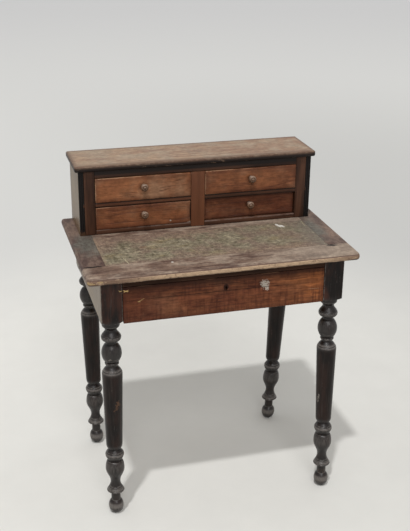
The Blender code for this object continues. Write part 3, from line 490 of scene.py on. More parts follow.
def ebonised_wood():
    """Black stain with a dull sheen: brown on the blocks, faded on their outer sides, grey on worn rings,
    grey partly painted sheen on the bellies, and painted shade underneath.
    """
    material, tree, shader = new_finish("ebonised_wood")
    level = axis_of(tree, "Z")
    fibre = clouds(tree, along_grain(tree, "Z", 14, 320), 1.0, 5.0, 0.65)
    patches = clouds(tree, along_grain(tree, "Z", 16, 45), 1.0, 4.0)
    speckle = clouds(tree, place(tree), 260, 4.0, 0.6)
    streaks = clouds(tree, along_grain(tree, "Z", 30, 500), 1.0, 4.0, 0.6)
    block, column, turned = leg_parts(tree, level)
    warmth = maths(tree, "ADD", between(tree, block, 0.14, 1.0), times(tree, column, 0.12))
    colour = laid(tree, EBONY_BLACK, EBONY_WARM, band(tree, patches, 0.36, 0.66), warmth)
    colour = laid(tree, colour, EBONY_FIBRE, band(tree, fibre, 0.52, 0.70), 0.45)
    colour = vary(tree, colour, patches, 0.7, 1.3)
    colour = worn_and_sheen_grey(tree, colour, level, streaks, speckle)
    colour = shaded_undersides_black_hollows(tree, colour, level, speckle)
    for centre, reach, angle, tone, share in LEG_MARKS:
        mark = times(tree, spot(tree, centre, reach, (0, angle, 0)), band(tree, speckle, 0.44, 0.58))
        colour = laid(tree, colour, tone, mark, share)
    outside = band(tree, maths(tree, "ABSOLUTE", axis_of(tree, "X")), *BLOCK_FADED)
    faded = vary(tree, mix(tree, band(tree, fibre, 0.38, 0.62), SIDE_TAN, SIDE_BROWN), patches, 0.85, 1.15)
    colour = laid(tree, colour, faded, times(tree, outside, block), 0.9)
    sheen = between(tree, speckle, 0.26, 0.40)
    shine = between(tree, turned, BLOCK_SHINE, EBONY_SHINE)
    relief = maths(tree, "ADD", fibre, times(tree, speckle, 0.5))
    connect(tree, shader, Base_Color=colour, Roughness=sheen, Specular_IOR_Level=shine,
            Normal=bump(tree, relief, 0.0003))
    return material


# Each leg's node, the rounding under its block, how far its foot has crept aside, and its plank.
LEGS = (
    ("leg_front_left", 0.016, (0.0, 0.0), 1.0),
    ("leg_front_right", 0.006, (0.0, -0.022), 2.0),
    ("leg_back_left", 0.008, (0.006, -0.007), 3.0),
    ("leg_back_right", 0.008, (-0.024, -0.006), 4.0),
)
ebonised = ebonised_wood()
for node, rounding, creep, plank in LEGS:
    low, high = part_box(node)
    half = BLOCK_SIDE / 2
    axis = Vector((low.x + half if high.x < 0 else high.x - half, high.y - half, 0.0))
    form = spun([(0.0, high.z), *block_points(high.z, rounding), *turned_points(), (0.0, low.z)], LEG_STEPS)
    square_block(form)
    lean(form, creep)
    bmesh.ops.translate(form, verts=form.verts[:], vec=axis)
    mark_crests(form)
    rub_down(form, LEG_WEAR, LEG_DENT, plank)
    finish_piece(node, form, ebonised, plank)


# Apron rails and drawer runners
# Straight boards tenoned into the leg blocks, stained dark and varnished, with a thin rail above the wide
# drawer that is darkened with painted shade. Light has faded the side rails to tan. The runners are strips
# of bare wood glued inside them.

FLAT_ANGLE = 0.02
RIM_INSET = 0.0022
BOARD_ARRIS = 0.0008
BOARD_DENT = 0.012
INNER_ARRIS = 0.0004
RAIL_GRID = 0.012
RAIL_WEAR = 0.0003
THIN_RAIL_GRID = 0.008
THIN_RAIL_WEAR = 0.0004
THIN_RAIL_SHADE = -0.5

WALNUT_SHADE_BLACK = (0.014, 0.0085, 0.0070)
WALNUT_DEEP = (0.029, 0.0135, 0.0088)
WALNUT_MID = (0.076, 0.034, 0.0195)
WALNUT_BROWN = (0.150, 0.056, 0.027)
WALNUT_RUBBED = (0.20, 0.115, 0.070)
WALNUT_SHINE = 0.20
SIDE_SHINE = 0.2
SHADOWED_RAIL_SHINE = 0.05
PLAIN_PALE = (0.36, 0.235, 0.125)
PLAIN_DARK = (0.20, 0.115, 0.056)
PLAIN_STAIN = (0.085, 0.050, 0.028)


def on_outer_edge(edge, low, high):
    """Whether an edge lies where two faces of the board's box meet."""
    faces = 0
    for axis in range(3):
        for side in (low, high):
            faces += all(abs(point.co[axis] - side[axis]) < MERGE_GAP for point in edge.verts)
    return faces >= 2


def cut_across(form, axis, level):
    """Cuts a form across at a level of one axis."""
    normal = [float(axis == other) for other in range(3)]
    bmesh.ops.bisect_plane(form, geom=form.verts[:] + form.edges[:] + form.faces[:], dist=MERGE_GAP,
                           plane_co=[level] * 3, plane_no=normal)


def cut_grid(form, low, high, pitch):
    """Cuts a form across at even steps along each axis, so that wear can reach its faces."""
    for axis in range(3):
        steps = round((high[axis] - low[axis]) / pitch)
        for step in range(1, steps):
            cut_across(form, axis, low.lerp(high, step / steps)[axis])


def cut_rims(form, low, high):
    """Cuts a line close inside each edge of a board, so that its wear stays on the edge."""
    for axis in range(3):
        if high[axis] - low[axis] < 4 * RIM_INSET:
            continue
        for level in (low[axis] + RIM_INSET, high[axis] - RIM_INSET):
            cut_across(form, axis, level)


def mark_rims(form, low, high):
    """Notes on each point how far it is from the nearest edge of the board's broad face."""
    rim = form.verts.layers.float.new("rim")
    thin = min(range(3), key=lambda axis: high[axis] - low[axis])
    broad = [axis for axis in range(3) if axis != thin]
    for point in form.verts:
        point[rim] = min(min(point.co[axis] - low[axis], high[axis] - point.co[axis]) for axis in broad)


def board_copy(node, arris):
    """The node's board with whole faces and its outer edges eased."""
    form = bmesh.new()
    form.from_mesh(frame["nodes"][node].data)
    bmesh.ops.remove_doubles(form, verts=form.verts[:], dist=MERGE_GAP)
    bmesh.ops.dissolve_limit(form, angle_limit=FLAT_ANGLE, verts=form.verts[:], edges=form.edges[:])
    low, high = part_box(node)
    outer = [edge for edge in form.edges if on_outer_edge(edge, low, high)]
    bmesh.ops.bevel(form, geom=outer, offset=arris, segments=2, profile=0.5, affect="EDGES",
                    clamp_overlap=True, material=-1)
    return form


def old_board(node, material, arris, pitch, wear, plank, fade=0.0):
    """A board seen from outside: eased, cut fine, and worn along its edges."""
    low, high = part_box(node)
    form = board_copy(node, arris)
    cut_grid(form, low, high, pitch)
    cut_rims(form, low, high)
    mark_rims(form, low, high)
    mark_crests(form)
    rub_down(form, wear, BOARD_DENT, plank)
    finish_piece(node, form, material, plank, fade)


def inner_board(node, material, plank):
    """A board inside the desk, eased only a little."""
    finish_piece(node, board_copy(node, INNER_ARRIS), material, plank)


def dark_walnut(name, grain, shine=WALNUT_SHINE):
    """Dark stained wood under old glossy varnish, rubbed brown along its edges, with painted shade where its
    fade is below zero.
    """
    material, tree, shader = new_finish(name)
    crest = own(tree, "crest")
    figure = clouds(tree, along_grain(tree, grain, 5, 60), 1.0, 5.0, 0.62)
    fibre = clouds(tree, along_grain(tree, grain, 25, 900), 1.0, 3.0, 0.6)
    patches = clouds(tree, along_grain(tree, grain, 14, 26), 1.0, 3.0)
    colour = mix(tree, band(tree, figure, 0.34, 0.66), WALNUT_DEEP, WALNUT_MID)
    colour = laid(tree, colour, WALNUT_DEEP, band(tree, fibre, 0.55, 0.75), 0.5)
    colour = laid(tree, colour, WALNUT_MID, band(tree, patches, 0.5, 0.75), 0.35)
    colour = mix(tree, own(tree, "fade"), colour, WALNUT_BROWN)
    # A fade below zero lays painted shade, for rails in the shadow of a top.
    colour = laid(tree, colour, WALNUT_SHADE_BLACK, own(tree, "fade"), -1.0)
    colour = vary(tree, colour, figure, 0.75, 1.25)
    worn = times(tree, band(tree, crest, 0.15, 0.6), band(tree, patches, 0.42, 0.66))
    colour = laid(tree, colour, WALNUT_RUBBED, worn, 0.22)
    sheen = between(tree, patches, 0.26, 0.42)
    shader.inputs["Specular IOR Level"].default_value = shine
    connect(tree, shader, Base_Color=colour, Roughness=sheen, Normal=bump(tree, fibre, 0.00008))
    return material


def faded_side_wood(name, grain):
    """Side boards bleached by light to a dull tan, with the varnish on them still glossy."""
    material, tree, shader = new_finish(name)
    crest = own(tree, "crest")
    figure = clouds(tree, along_grain(tree, grain, 3, 75), 1.0, 5.0, 0.6)
    fibre = clouds(tree, along_grain(tree, grain, 25, 900), 1.0, 3.0, 0.6)
    patches = clouds(tree, along_grain(tree, grain, 8, 20), 1.0, 3.0)
    colour = mix(tree, band(tree, figure, 0.34, 0.62), SIDE_BROWN, SIDE_TAN)
    colour = vary(tree, colour, patches, 0.85, 1.12)
    colour = laid(tree, colour, SIDE_BROWN, band(tree, fibre, 0.55, 0.75), 0.3)
    worn = times(tree, band(tree, crest, 0.15, 0.6), band(tree, patches, 0.4, 0.6))
    colour = laid(tree, colour, WALNUT_RUBBED, worn, 0.5)
    sheen = between(tree, patches, 0.28, 0.40)
    shader.inputs["Specular IOR Level"].default_value = SIDE_SHINE
    connect(tree, shader, Base_Color=colour, Roughness=sheen, Normal=bump(tree, fibre, 0.00006))
    return material


def plain_wood(grain):
    """Bare boards gone brown with age, with darker streaks and stains."""
    material, tree, shader = new_finish("plain_wood_" + grain)
    figure = clouds(tree, along_grain(tree, grain, 3, 70), 1.0, 5.0, 0.6)
    fibre = clouds(tree, along_grain(tree, grain, 30, 900), 1.0, 3.0, 0.6)
    stains = clouds(tree, along_grain(tree, grain, 11, 19), 1.0, 4.0)
    colour = mix(tree, band(tree, figure, 0.35, 0.68), PLAIN_PALE, PLAIN_DARK)
    colour = laid(tree, colour, PLAIN_DARK, band(tree, fibre, 0.5, 0.72), 0.4)
    colour = laid(tree, colour, PLAIN_STAIN, band(tree, stains, 0.55, 0.8), 0.6)
    rough = between(tree, fibre, 0.6, 0.85)
    connect(tree, shader, Base_Color=colour, Roughness=rough, Normal=bump(tree, fibre, 0.00025))
    return material


walnut = {grain: dark_walnut("dark_walnut_" + grain, grain) for grain in "XZ"}
plain = {grain: plain_wood(grain) for grain in "XYZ"}
rail_side = faded_side_wood("faded_side_wood_Y", "Y")
shadowed_rail = dark_walnut("shadowed_rail_wood", "X", SHADOWED_RAIL_SHINE)
old_board("side_rail_left", rail_side, BOARD_ARRIS, RAIL_GRID, RAIL_WEAR, 5.0)
old_board("side_rail_right", rail_side, BOARD_ARRIS, RAIL_GRID, RAIL_WEAR, 6.0)
old_board("back_rail", walnut["X"], BOARD_ARRIS, RAIL_GRID, RAIL_WEAR, 7.0)
# The thin rail is darkened with painted shade under the top's overhang.
old_board("front_top_rail", shadowed_rail, BOARD_ARRIS, THIN_RAIL_GRID, THIN_RAIL_WEAR, 8.0, THIN_RAIL_SHADE)
inner_board("drawer_runner_left", plain["Y"], 9.0)
inner_board("drawer_runner_right", plain["Y"], 10.0)


# Writing top
# A frame of four worn walnut boards round a flat panel: a front rail, two end boards tenoned to it, and a
# back rail under the case. The front and ends have a rounded nose, with a fine quirk scratched along it.

TOP_CORNER = 0.010
CORNER_SEGMENTS = 8
TOP_NOSE = 0.0062
TOP_NOSE_SEGMENTS = 6
UPRIGHT_TILT = 0.1
FLAT_TILT = 0.9
TOP_QUIRK_HALF = 0.0004
TOP_QUIRK_DEPTH = 0.0008
TOP_SPARE = 0.03
TOP_GRID = 0.006
TOP_WEAR = 0.0011
TOP_DENT = 0.009
TOP_BACK_ARRIS = 0.0006
TOP_BACK_WEAR = 0.0002
CHIP_REACH = 0.011
CHIP_DEPTH = 0.0030
CHIP_WAY = (0.5, 0.6, -0.6)
CHIP_GRIT = 420
TOP_SHINE = 0.22

FRONT_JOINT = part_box("writing_leather")[0].y
LEFT_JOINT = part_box("writing_leather")[0].x
RIGHT_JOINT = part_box("writing_leather")[1].x
TOP_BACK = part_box("top_back_rail")[1].y
JOINT_GAP = 0.0003

TOP_BROWN = (0.240, 0.160, 0.117)
TOP_DEEP = (0.090, 0.050, 0.040)
TOP_GREY = (0.325, 0.255, 0.198)
TOP_END = (0.088, 0.055, 0.048)
TOP_GREENISH = (0.140, 0.132, 0.110)
TOP_SEAM = (0.014, 0.010, 0.009)
NOSE_TAN = (0.560, 0.395, 0.255)
NOSE_BLOTCH = (0.150, 0.090, 0.062)
NOSE_UNDER_SHADE = (0.026, 0.0115, 0.0075)
NOSE_RED = (0.092, 0.042, 0.030)
QUIRK_SHADE_RED = (0.078, 0.034, 0.026)
DOT_WHITE = (0.62, 0.58, 0.52)
CHIP_YELLOW = (0.43, 0.30, 0.15)

TOP_GREY_SIDE = (0.02, 0.22)
GREEN_HAZES = (((-0.266, 0.005, 0.6), (0.042, 0.100, 0.02)), ((0.254, -0.015, 0.6), (0.030, 0.095, 0.02)))
NOSE_FRONT = (-0.1822, -0.1842)
NOSE_LEVELS = (0.5972, 0.5952)
NOSE_UNDER_LEVELS = (0.5885, 0.5855)
NOSE_MIDDLE = 0.03
NOSE_MIDDLE_REACH = (0.28, 0.15)
QUIRK_ABOVE = (0.5984, 0.5976)
QUIRK_BELOW = (0.5952, 0.5962)

# Each mark's centre, reach, turn, raggedness, colour and share.
TOP_MARKS = (
    ((-0.2940, -0.1860, 0.5915), (0.0110, 0.0060, 0.0032), 0.0, 0.6, CHIP_YELLOW, 0.8),
    ((-0.2730, -0.1890, 0.5935), (0.0060, 0.0040, 0.0016), 0.0, 0.6, CHIP_YELLOW, 0.8),
    ((-0.2760, -0.1211, 0.600), (0.0215, 0.0036, 0.010), 0.0, 0.25, TOP_SEAM, 0.95),
    ((0.2565, -0.1262, 0.600), (0.0125, 0.0050, 0.010), -0.2, 0.2, TOP_SEAM, 1.0),
    ((0.2600, -0.1140, 0.600), (0.0100, 0.0090, 0.010), 0.0, 0.6, TOP_DEEP, 0.6),
    ((-0.1095, -0.1345, 0.600), (0.0030, 0.0036, 0.010), 0.0, 0.3, DOT_WHITE, 0.9),
)


def draw_up(form, height):
    """Draws a flat face up into a solid of the given height."""
    raised = bmesh.ops.extrude_face_region(form, geom=form.faces[:])
    lifted = [item for item in raised["geom"] if isinstance(item, bmesh.types.BMVert)]
    bmesh.ops.translate(form, verts=lifted, vec=(0, 0, height))


def rounded_plate(low, high, corner, spare):
    """A flat plate with its two front corners rounded and some spare length at the back."""
    form = bmesh.new()
    bmesh.ops.create_grid(form, x_segments=1, y_segments=1, size=0.5)
    bmesh.ops.scale(form, verts=form.verts[:], vec=(high.x - low.x, high.y + spare - low.y, 1))
    bmesh.ops.translate(form, verts=form.verts[:],
                        vec=((low.x + high.x) / 2, (low.y + high.y + spare) / 2, low.z))
    front = [point for point in form.verts if point.co.y < (low.y + high.y) / 2]
    bmesh.ops.bevel(form, geom=front, offset=corner, segments=CORNER_SEGMENTS, profile=0.5,
                    affect="VERTICES", material=-1)
    draw_up(form, high.z - low.z)
    bmesh.ops.recalc_face_normals(form, faces=form.faces[:])
    return form


def round_nose(form, radius, segments):
    """Rounds the plate's upper and lower rims."""
    rims = []
    for edge in form.edges:
        tilts = sorted(abs(face.normal.z) for face in edge.link_faces)
        if tilts[0] < UPRIGHT_TILT and tilts[-1] > FLAT_TILT:
            rims.append(edge)
    bmesh.ops.bevel(form, geom=rims, offset=radius, segments=segments, profile=0.5, affect="EDGES",
                    clamp_overlap=True, material=-1)


def scratch_quirk(form, level):
    """Presses a fine groove into the nose, along its row of points at the level."""
    form.normal_update()
    for point in form.verts:
        if abs(point.co.z - level) < TOP_QUIRK_HALF:
            point.co -= point.normal * TOP_QUIRK_DEPTH


def keep_side(form, corner, outward):
    """Saws the form off at a plane and closes the cut."""
    bmesh.ops.bisect_plane(form, geom=form.verts[:] + form.edges[:] + form.faces[:], dist=MERGE_GAP,
                           plane_co=corner, plane_no=outward, clear_outer=True)
    bmesh.ops.holes_fill(form, edges=[edge for edge in form.edges if edge.is_boundary], sides=0)


def moulded_top():
    """The whole top as one nosed plate, before it is sawn into boards."""
    low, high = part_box("top_front_rail")
    form = rounded_plate(low, Vector((high.x, TOP_BACK, high.z)), TOP_CORNER, TOP_SPARE)
    round_nose(form, TOP_NOSE, TOP_NOSE_SEGMENTS)
    scratch_quirk(form, high.z - TOP_NOSE / 2)
    return form


def chip_corner(form, corner):
    """Breaks the corner away in a ragged dent."""
    for point in form.verts:
        near = 1 - (point.co - corner).length / CHIP_REACH
        if near > 0:
            ragged = 0.6 + 0.8 * noise.noise(point.co * CHIP_GRIT)
            point.co += Vector(CHIP_WAY) * CHIP_DEPTH * near * ragged


def weathered_face(tree, figure, fibre, patches, grime):
    """The boards' own colours: brown and grey, darker on the end boards, greenish beside the skin."""
    colour = mix(tree, band(tree, figure, 0.36, 0.62), TOP_DEEP, TOP_BROWN)
    colour = laid(tree, colour, TOP_GREY, band(tree, patches, 0.42, 0.62), 0.7)
    colour = laid(tree, colour, TOP_GREY, band(tree, axis_of(tree, "X"), *TOP_GREY_SIDE), 0.68)
    end_wood = laid(tree, TOP_END, TOP_BROWN, band(tree, patches, 0.40, 0.66), 0.5)
    colour = laid(tree, colour, end_wood, own(tree, "fade"), 0.85)
    greens = [spot(tree, centre, reach, ragged=0.35, grit=35.0, soft=0.7) for centre, reach in GREEN_HAZES]
    haze = times(tree, maths(tree, "MAXIMUM", *greens), band(tree, grime, 0.24, 0.54))
    colour = laid(tree, colour, TOP_GREENISH, haze, 0.9)
    colour = vary(tree, colour, patches, 0.80, 1.20)
    colour = vary(tree, colour, fibre, 1.18, 0.82)
    return vary(tree, colour, grime, 0.72, 1.28)


def rubbed_nose(tree, colour, patches, grime, blotches):
    """Lays wear over the front nose: bare tan in the middle, painted shade underneath, and red painted shade
    in the quirk and hollows.
    """
    across, along, level = (axis_of(tree, axis) for axis in "XYZ")
    front = band(tree, along, *NOSE_FRONT)
    nose = times(tree, front, band(tree, level, *NOSE_LEVELS))
    middle = band(tree, away(tree, across, NOSE_MIDDLE), *NOSE_MIDDLE_REACH)
    bare_share = maths(tree, "ADD", times(tree, middle, 0.70), 0.22)
    tan = mix(tree, band(tree, blotches, 0.46, 0.66), NOSE_TAN, NOSE_BLOTCH)
    colour = laid(tree, colour, NOSE_RED, nose, 0.85)
    colour = laid(tree, colour, tan, times(tree, nose, band(tree, grime, 0.26, 0.46)), bare_share)
    colour = laid(tree, colour, NOSE_TAN, times(tree, nose, band(tree, blotches, 0.54, 0.62)), 0.8)
    # Painted shade on the underside of the nose.
    uneven = shaken(tree, level, blotches, 0.012)
    under = times(tree, nose, band(tree, uneven, *NOSE_UNDER_LEVELS))
    colour = laid(tree, colour, NOSE_UNDER_SHADE, under, 0.92)
    # Red painted shade in the quirk, and in every hollow below.
    quirk = times(tree, band(tree, level, *QUIRK_ABOVE), band(tree, level, *QUIRK_BELOW))
    quirk = times(tree, times(tree, front, quirk), band(tree, patches, 0.30, 0.50))
    colour = laid(tree, colour, QUIRK_SHADE_RED, quirk, 0.55)
    return laid(tree, colour, QUIRK_SHADE_RED, band(tree, own(tree, "crest"), -0.10, -0.5), 0.6)


def worn_top_wood(grain):
    """Weathered walnut, greyish and purple-brown, with a pale rubbed front nose."""
    material, tree, shader = new_finish("worn_top_wood_" + grain)
    figure = clouds(tree, along_grain(tree, grain, 18, 150), 1.0, 6.0, 0.70)
    fibre = clouds(tree, along_grain(tree, grain, 60, 760), 1.0, 3.0, 0.6)
    patches = clouds(tree, along_grain(tree, grain, 16, 38), 1.0, 5.0, 0.6)
    grime = clouds(tree, place(tree), 120, 6.0, 0.70)
    blotches = clouds(tree, along_grain(tree, grain, 55, 210), 1.0, 5.0, 0.65)
    colour = weathered_face(tree, figure, fibre, patches, grime)
    colour = rubbed_nose(tree, colour, patches, grime, blotches)
    for centre, reach, angle, ragged, tone, share in TOP_MARKS:
        colour = laid(tree, colour, tone, spot(tree, centre, reach, (0, 0, angle), ragged), share)
    rough = between(tree, patches, 0.44, 0.68)
    relief = maths(tree, "ADD", fibre, times(tree, grime, 0.8))
    shader.inputs["Specular IOR Level"].default_value = TOP_SHINE
    connect(tree, shader, Base_Color=colour, Roughness=rough, Normal=bump(tree, relief, 0.0003))
    return material


BEHIND_FRONT = ((0, FRONT_JOINT, 0), (0, -1, 0))
AT_BACK = ((0, TOP_BACK, 0), (0, 1, 0))

# Each sawn board's node, grain and plank, and its saw cuts as a point and the way to the waste.
TOP_BOARDS = (
    ("top_front_rail", "X", 11.0, [((0, FRONT_JOINT - JOINT_GAP, 0), (0, 1, 0))]),
    ("top_end_left", "Y", 12.0, [BEHIND_FRONT, AT_BACK, ((LEFT_JOINT - JOINT_GAP, 0, 0), (1, 0, 0))]),
    ("top_end_right", "Y", 13.0, [BEHIND_FRONT, AT_BACK, ((RIGHT_JOINT + JOINT_GAP, 0, 0), (-1, 0, 0))]),
)
worn_top = {grain: worn_top_wood(grain) for grain in "XY"}
blank = moulded_top()
for node, grain, plank, saw_cuts in TOP_BOARDS:
    form = blank.copy()
    for corner, outward in saw_cuts:
        keep_side(form, Vector(corner), outward)
    low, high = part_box(node)
    cut_grid(form, low, high, TOP_GRID)
    mark_crests(form)
    rub_down(form, TOP_WEAR, TOP_DENT, plank)
    if node == "top_front_rail":
        chip_corner(form, Vector((low.x, low.y, high.z)))
    finish_piece(node, form, worn_top[grain], plank, float(grain == "Y"))
blank.free()
old_board("top_back_rail", worn_top["X"], TOP_BACK_ARRIS, RAIL_GRID, TOP_BACK_WEAR, 14.0)
inner_board("writing_panel", worn_top["X"], 15.0)


# Writing skin
# A thin green skin glued on the panel, level with the frame. It has worn into streaks along the panel's
# grain, to bare brown wood at the back and to a pale strip at the left end, and it is flecked and scratched.

SKIN_ARRIS = 0.0003
SKIN_RIPPLE = 0.00022
SKIN_RIPPLES = 45
SKIN_GRID = 0.006

SKIN_OLIVE = (0.086, 0.071, 0.040)
SKIN_GREY_GREEN = (0.286, 0.246, 0.174)
SKIN_DULL = (0.196, 0.164, 0.115)
SKIN_GOLD = (0.235, 0.180, 0.096)
SKIN_BARE = (0.190, 0.126, 0.100)
SKIN_STRIP = (0.300, 0.215, 0.150)
SKIN_FLECK = (0.47, 0.41, 0.27)
SKIN_END = (0.150, 0.136, 0.114)
SKIN_RUST = (0.150, 0.080, 0.045)
SKIN_WHITE = (0.74, 0.71, 0.65)

SKIN_CALM_SIDE = (-0.08, 0.12)
SKIN_BACK_WEAR = (0.002, 0.038)
SKIN_BACK_SLANT = 0.1155
SKIN_FRONT_WEAR = (-0.100, -0.124)
SKIN_LEFT_WEAR = (-0.2420, -0.2470)
SKIN_RIGHT_WEAR = (0.185, 0.255)
CASE_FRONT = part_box("case_bottom")[0].y
CASE_SHADE = (CASE_FRONT - 0.034, CASE_FRONT - 0.002)
SKIN_SCUFF = (-0.125, -0.045, 0.6)
SKIN_SCUFF_REACH = (0.085, 0.050, 0.02)
SKIN_SCRATCH_TURNS = (0.8, -0.5, 1.4)
SKIN_SCRATCHES = (90, 420, 1)

# Each mark's centre, reach, turn, colour and share.
SKIN_MARKS = (
    ((-0.2025, -0.105, 0.6), (0.022, 0.0018, 0.01), -1.42, SKIN_FLECK, 0.7),
    ((-0.1680, -0.060, 0.6), (0.016, 0.0030, 0.01), 0.25, SKIN_FLECK, 0.45),
    ((-0.1300, -0.030, 0.6), (0.014, 0.0050, 0.01), 0.15, SKIN_FLECK, 0.40),
    ((-0.1500, -0.035, 0.6), (0.010, 0.0060, 0.01), 0.0, SKIN_RUST, 0.6),
    ((0.0500, -0.020, 0.6), (0.003, 0.020, 0.01), 0.5, SKIN_FLECK, 0.5),
    ((0.1830, 0.0215, 0.6), (0.0038, 0.0120, 0.01), 0.2, SKIN_WHITE, 1.0),
    ((0.1910, 0.0160, 0.6), (0.0036, 0.0090, 0.01), 0.2, SKIN_WHITE, 0.95),
    ((0.1875, 0.0185, 0.6), (0.0050, 0.0036, 0.01), -0.4, SKIN_WHITE, 0.95),
    ((0.2440, 0.020, 0.6), (0.016, 0.0018, 0.01), 1.5, SKIN_FLECK, 0.4),
    ((-0.0180, 0.0605, 0.6), (0.026, 0.0020, 0.01), 0.0, SKIN_WHITE, 0.7),
)


def streaked_green(tree, streaks, fine, mottle, calm):
    """The skin's own colours: streaks of olive and grey-green with golden and bare patches."""
    colour = mix(tree, band(tree, streaks, 0.24, 0.70), SKIN_OLIVE, SKIN_GREY_GREEN)
    colour = laid(tree, colour, SKIN_DULL, calm, 0.45)
    golden = clouds(tree, along_grain(tree, "X", 18, 34), 1.0, 4.0, 0.6)
    colour = laid(tree, colour, SKIN_GOLD, band(tree, golden, 0.52, 0.66), 0.55)
    wide = clouds(tree, place(tree), 17, 4.0, 0.6)
    colour = laid(tree, colour, SKIN_BARE, band(tree, wide, 0.42, 0.62), 0.65)
    colour = vary(tree, colour, mottle, 0.62, 1.38)
    grainy = vary(tree, colour, fine, 0.52, 1.48)
    return laid(tree, grainy, colour, calm, 0.5)


def worn_through(tree, colour, streaks, fine, mottle, calm):
    """Bares the wood at the back and front, wears both ends, and lays painted shade close to the case."""
    across, along = axis_of(tree, "X"), axis_of(tree, "Y")
    bare = vary(tree, mix(tree, band(tree, streaks, 0.4, 0.6), SKIN_BARE, TOP_BROWN), fine, 0.8, 1.2)
    bare = vary(tree, bare, mottle, 0.70, 1.30)
    slope = maths(tree, "SUBTRACT", along, times(tree, across, SKIN_BACK_SLANT))
    colour = laid(tree, colour, bare, band(tree, shaken(tree, slope, streaks, 0.09), *SKIN_BACK_WEAR), 0.85)
    near = maths(tree, "SUBTRACT", shaken(tree, along, streaks, 0.06), times(tree, calm, 0.014))
    colour = laid(tree, colour, bare, band(tree, near, *SKIN_FRONT_WEAR), 0.7)
    left = band(tree, shaken(tree, across, mottle, 0.030), *SKIN_LEFT_WEAR)
    colour = laid(tree, colour, SKIN_STRIP, times(tree, left, band(tree, fine, 0.34, 0.56)), 0.7)
    right = times(tree, band(tree, across, *SKIN_RIGHT_WEAR), band(tree, mottle, 0.30, 0.60))
    colour = laid(tree, colour, SKIN_END, right, 0.75)
    # Painted shade where the skin meets the case.
    return laid(tree, colour, TOP_DEEP, band(tree, along, *CASE_SHADE), 0.66)


def flecked(tree, colour, mottle):
    """Lays flecks, scratches and single marks over the skin, most of them where it is scuffed."""
    dots = clouds(tree, place(tree), 400, 3.0, 0.6)
    scuffed = spot(tree, SKIN_SCUFF, SKIN_SCUFF_REACH, ragged=0.4, grit=40.0, soft=0.9)
    bared = maths(tree, "ADD", mottle, times(tree, scuffed, 0.07))
    busy = times(tree, band(tree, dots, 0.56, 0.65), band(tree, bared, 0.45, 0.60))
    colour = laid(tree, colour, SKIN_FLECK, busy, 0.75)
    for turn in SKIN_SCRATCH_TURNS:
        slanted = add(tree, "Mapping", {"Vector": place(tree), "Rotation": (0, 0, turn),
                                        "Scale": SKIN_SCRATCHES})
        scratch = band(tree, clouds(tree, slanted, 1.0, 2.0), 0.62, 0.70)
        colour = laid(tree, colour, SKIN_FLECK, times(tree, scratch, band(tree, bared, 0.44, 0.58)), 0.30)
    for centre, reach, angle, tone, share in SKIN_MARKS:
        stain = spot(tree, centre, reach, (0, 0, angle), 0.6, 350.0)
        mark = times(tree, stain, band(tree, dots, 0.34, 0.48))
        colour = laid(tree, colour, tone, mark, share)
    return colour


def worn_skin():
    """The green skin with all its wear and marks, calmer on its right half."""
    material, tree, shader = new_finish("worn_green_skin")
    streaks = clouds(tree, along_grain(tree, "X", 40, 108), 1.0, 5.0, 0.66)
    fine = clouds(tree, along_grain(tree, "X", 190, 105), 1.0, 5.0, 0.72)
    mottle = clouds(tree, place(tree), 95, 6.0, 0.70)
    calm = band(tree, axis_of(tree, "X"), *SKIN_CALM_SIDE)
    colour = streaked_green(tree, streaks, fine, mottle, calm)
    colour = worn_through(tree, colour, streaks, fine, mottle, calm)
    colour = flecked(tree, colour, mottle)
    rough = between(tree, mottle, 0.5, 0.75)
    relief = maths(tree, "ADD", times(tree, streaks, 0.3), fine)
    shader.inputs["Specular IOR Level"].default_value = TOP_SHINE
    connect(tree, shader, Base_Color=colour, Roughness=rough, Normal=bump(tree, relief, 0.0003))
    return material


form = board_copy("writing_leather", SKIN_ARRIS)
low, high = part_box("writing_leather")
cut_grid(form, low, high, SKIN_GRID)
for point in form.verts:
    if point.co.z > high.z - MERGE_GAP:
        point.co.z -= SKIN_RIPPLE * (0.5 + 0.5 * noise.noise(point.co * SKIN_RIPPLES))
mark_crests(form)
finish_piece("writing_leather", form, worn_skin(), 16.0)


# Upper case
# A low box of thin boards on the back of the top, with a front frame of three stiles and a rail, and shelf
# edges between them. Each side board has faded to tan and ends in front in three black reeds. The top board
# has bleached too, with black left on its rounded nose.

REEDS = 3
REED_QUIRK = 0.0012
REED_DEPTH = 0.0015
REED_POINTS = 8
CASE_SIDE_GRID = 0.010
CASE_SIDE_WEAR = 0.0003
CASE_DENT = 0.010
FRAME_GRID = 0.008
FRAME_WEAR = 0.0005
CASE_FLOOR_BOARD = 0.011
CASE_FLOOR_GRID = 0.010
CASE_FLOOR_WEAR = 0.0009
SHELF_BOARD = 0.0105
SHELF_GRID = 0.004
CASE_BACK_GRID = 0.016
CASE_BACK_WEAR = 0.0004
CASE_TOP_CORNER = 0.004
CASE_TOP_NOSE = 0.0052
CASE_TOP_NOSE_SEGMENTS = 5
CASE_TOP_WEAR = 0.0008

REED_BLACK_AND_SHADOW = (0.012, 0.0095, 0.009)
CASE_TOP_TAN = (0.374, 0.258, 0.172)
CASE_TOP_GREY = (0.352, 0.262, 0.184)
CASE_TOP_PINK = (0.240, 0.128, 0.084)
CASE_TOP_EDGE = (0.095, 0.054, 0.038)
CASE_TOP_BLACK = (0.016, 0.0105, 0.009)
CASE_TOP_FLECK = (0.33, 0.22, 0.15)
SILL_PALE = (0.20, 0.138, 0.115)
CASE_TOP_SHINE = 0.22

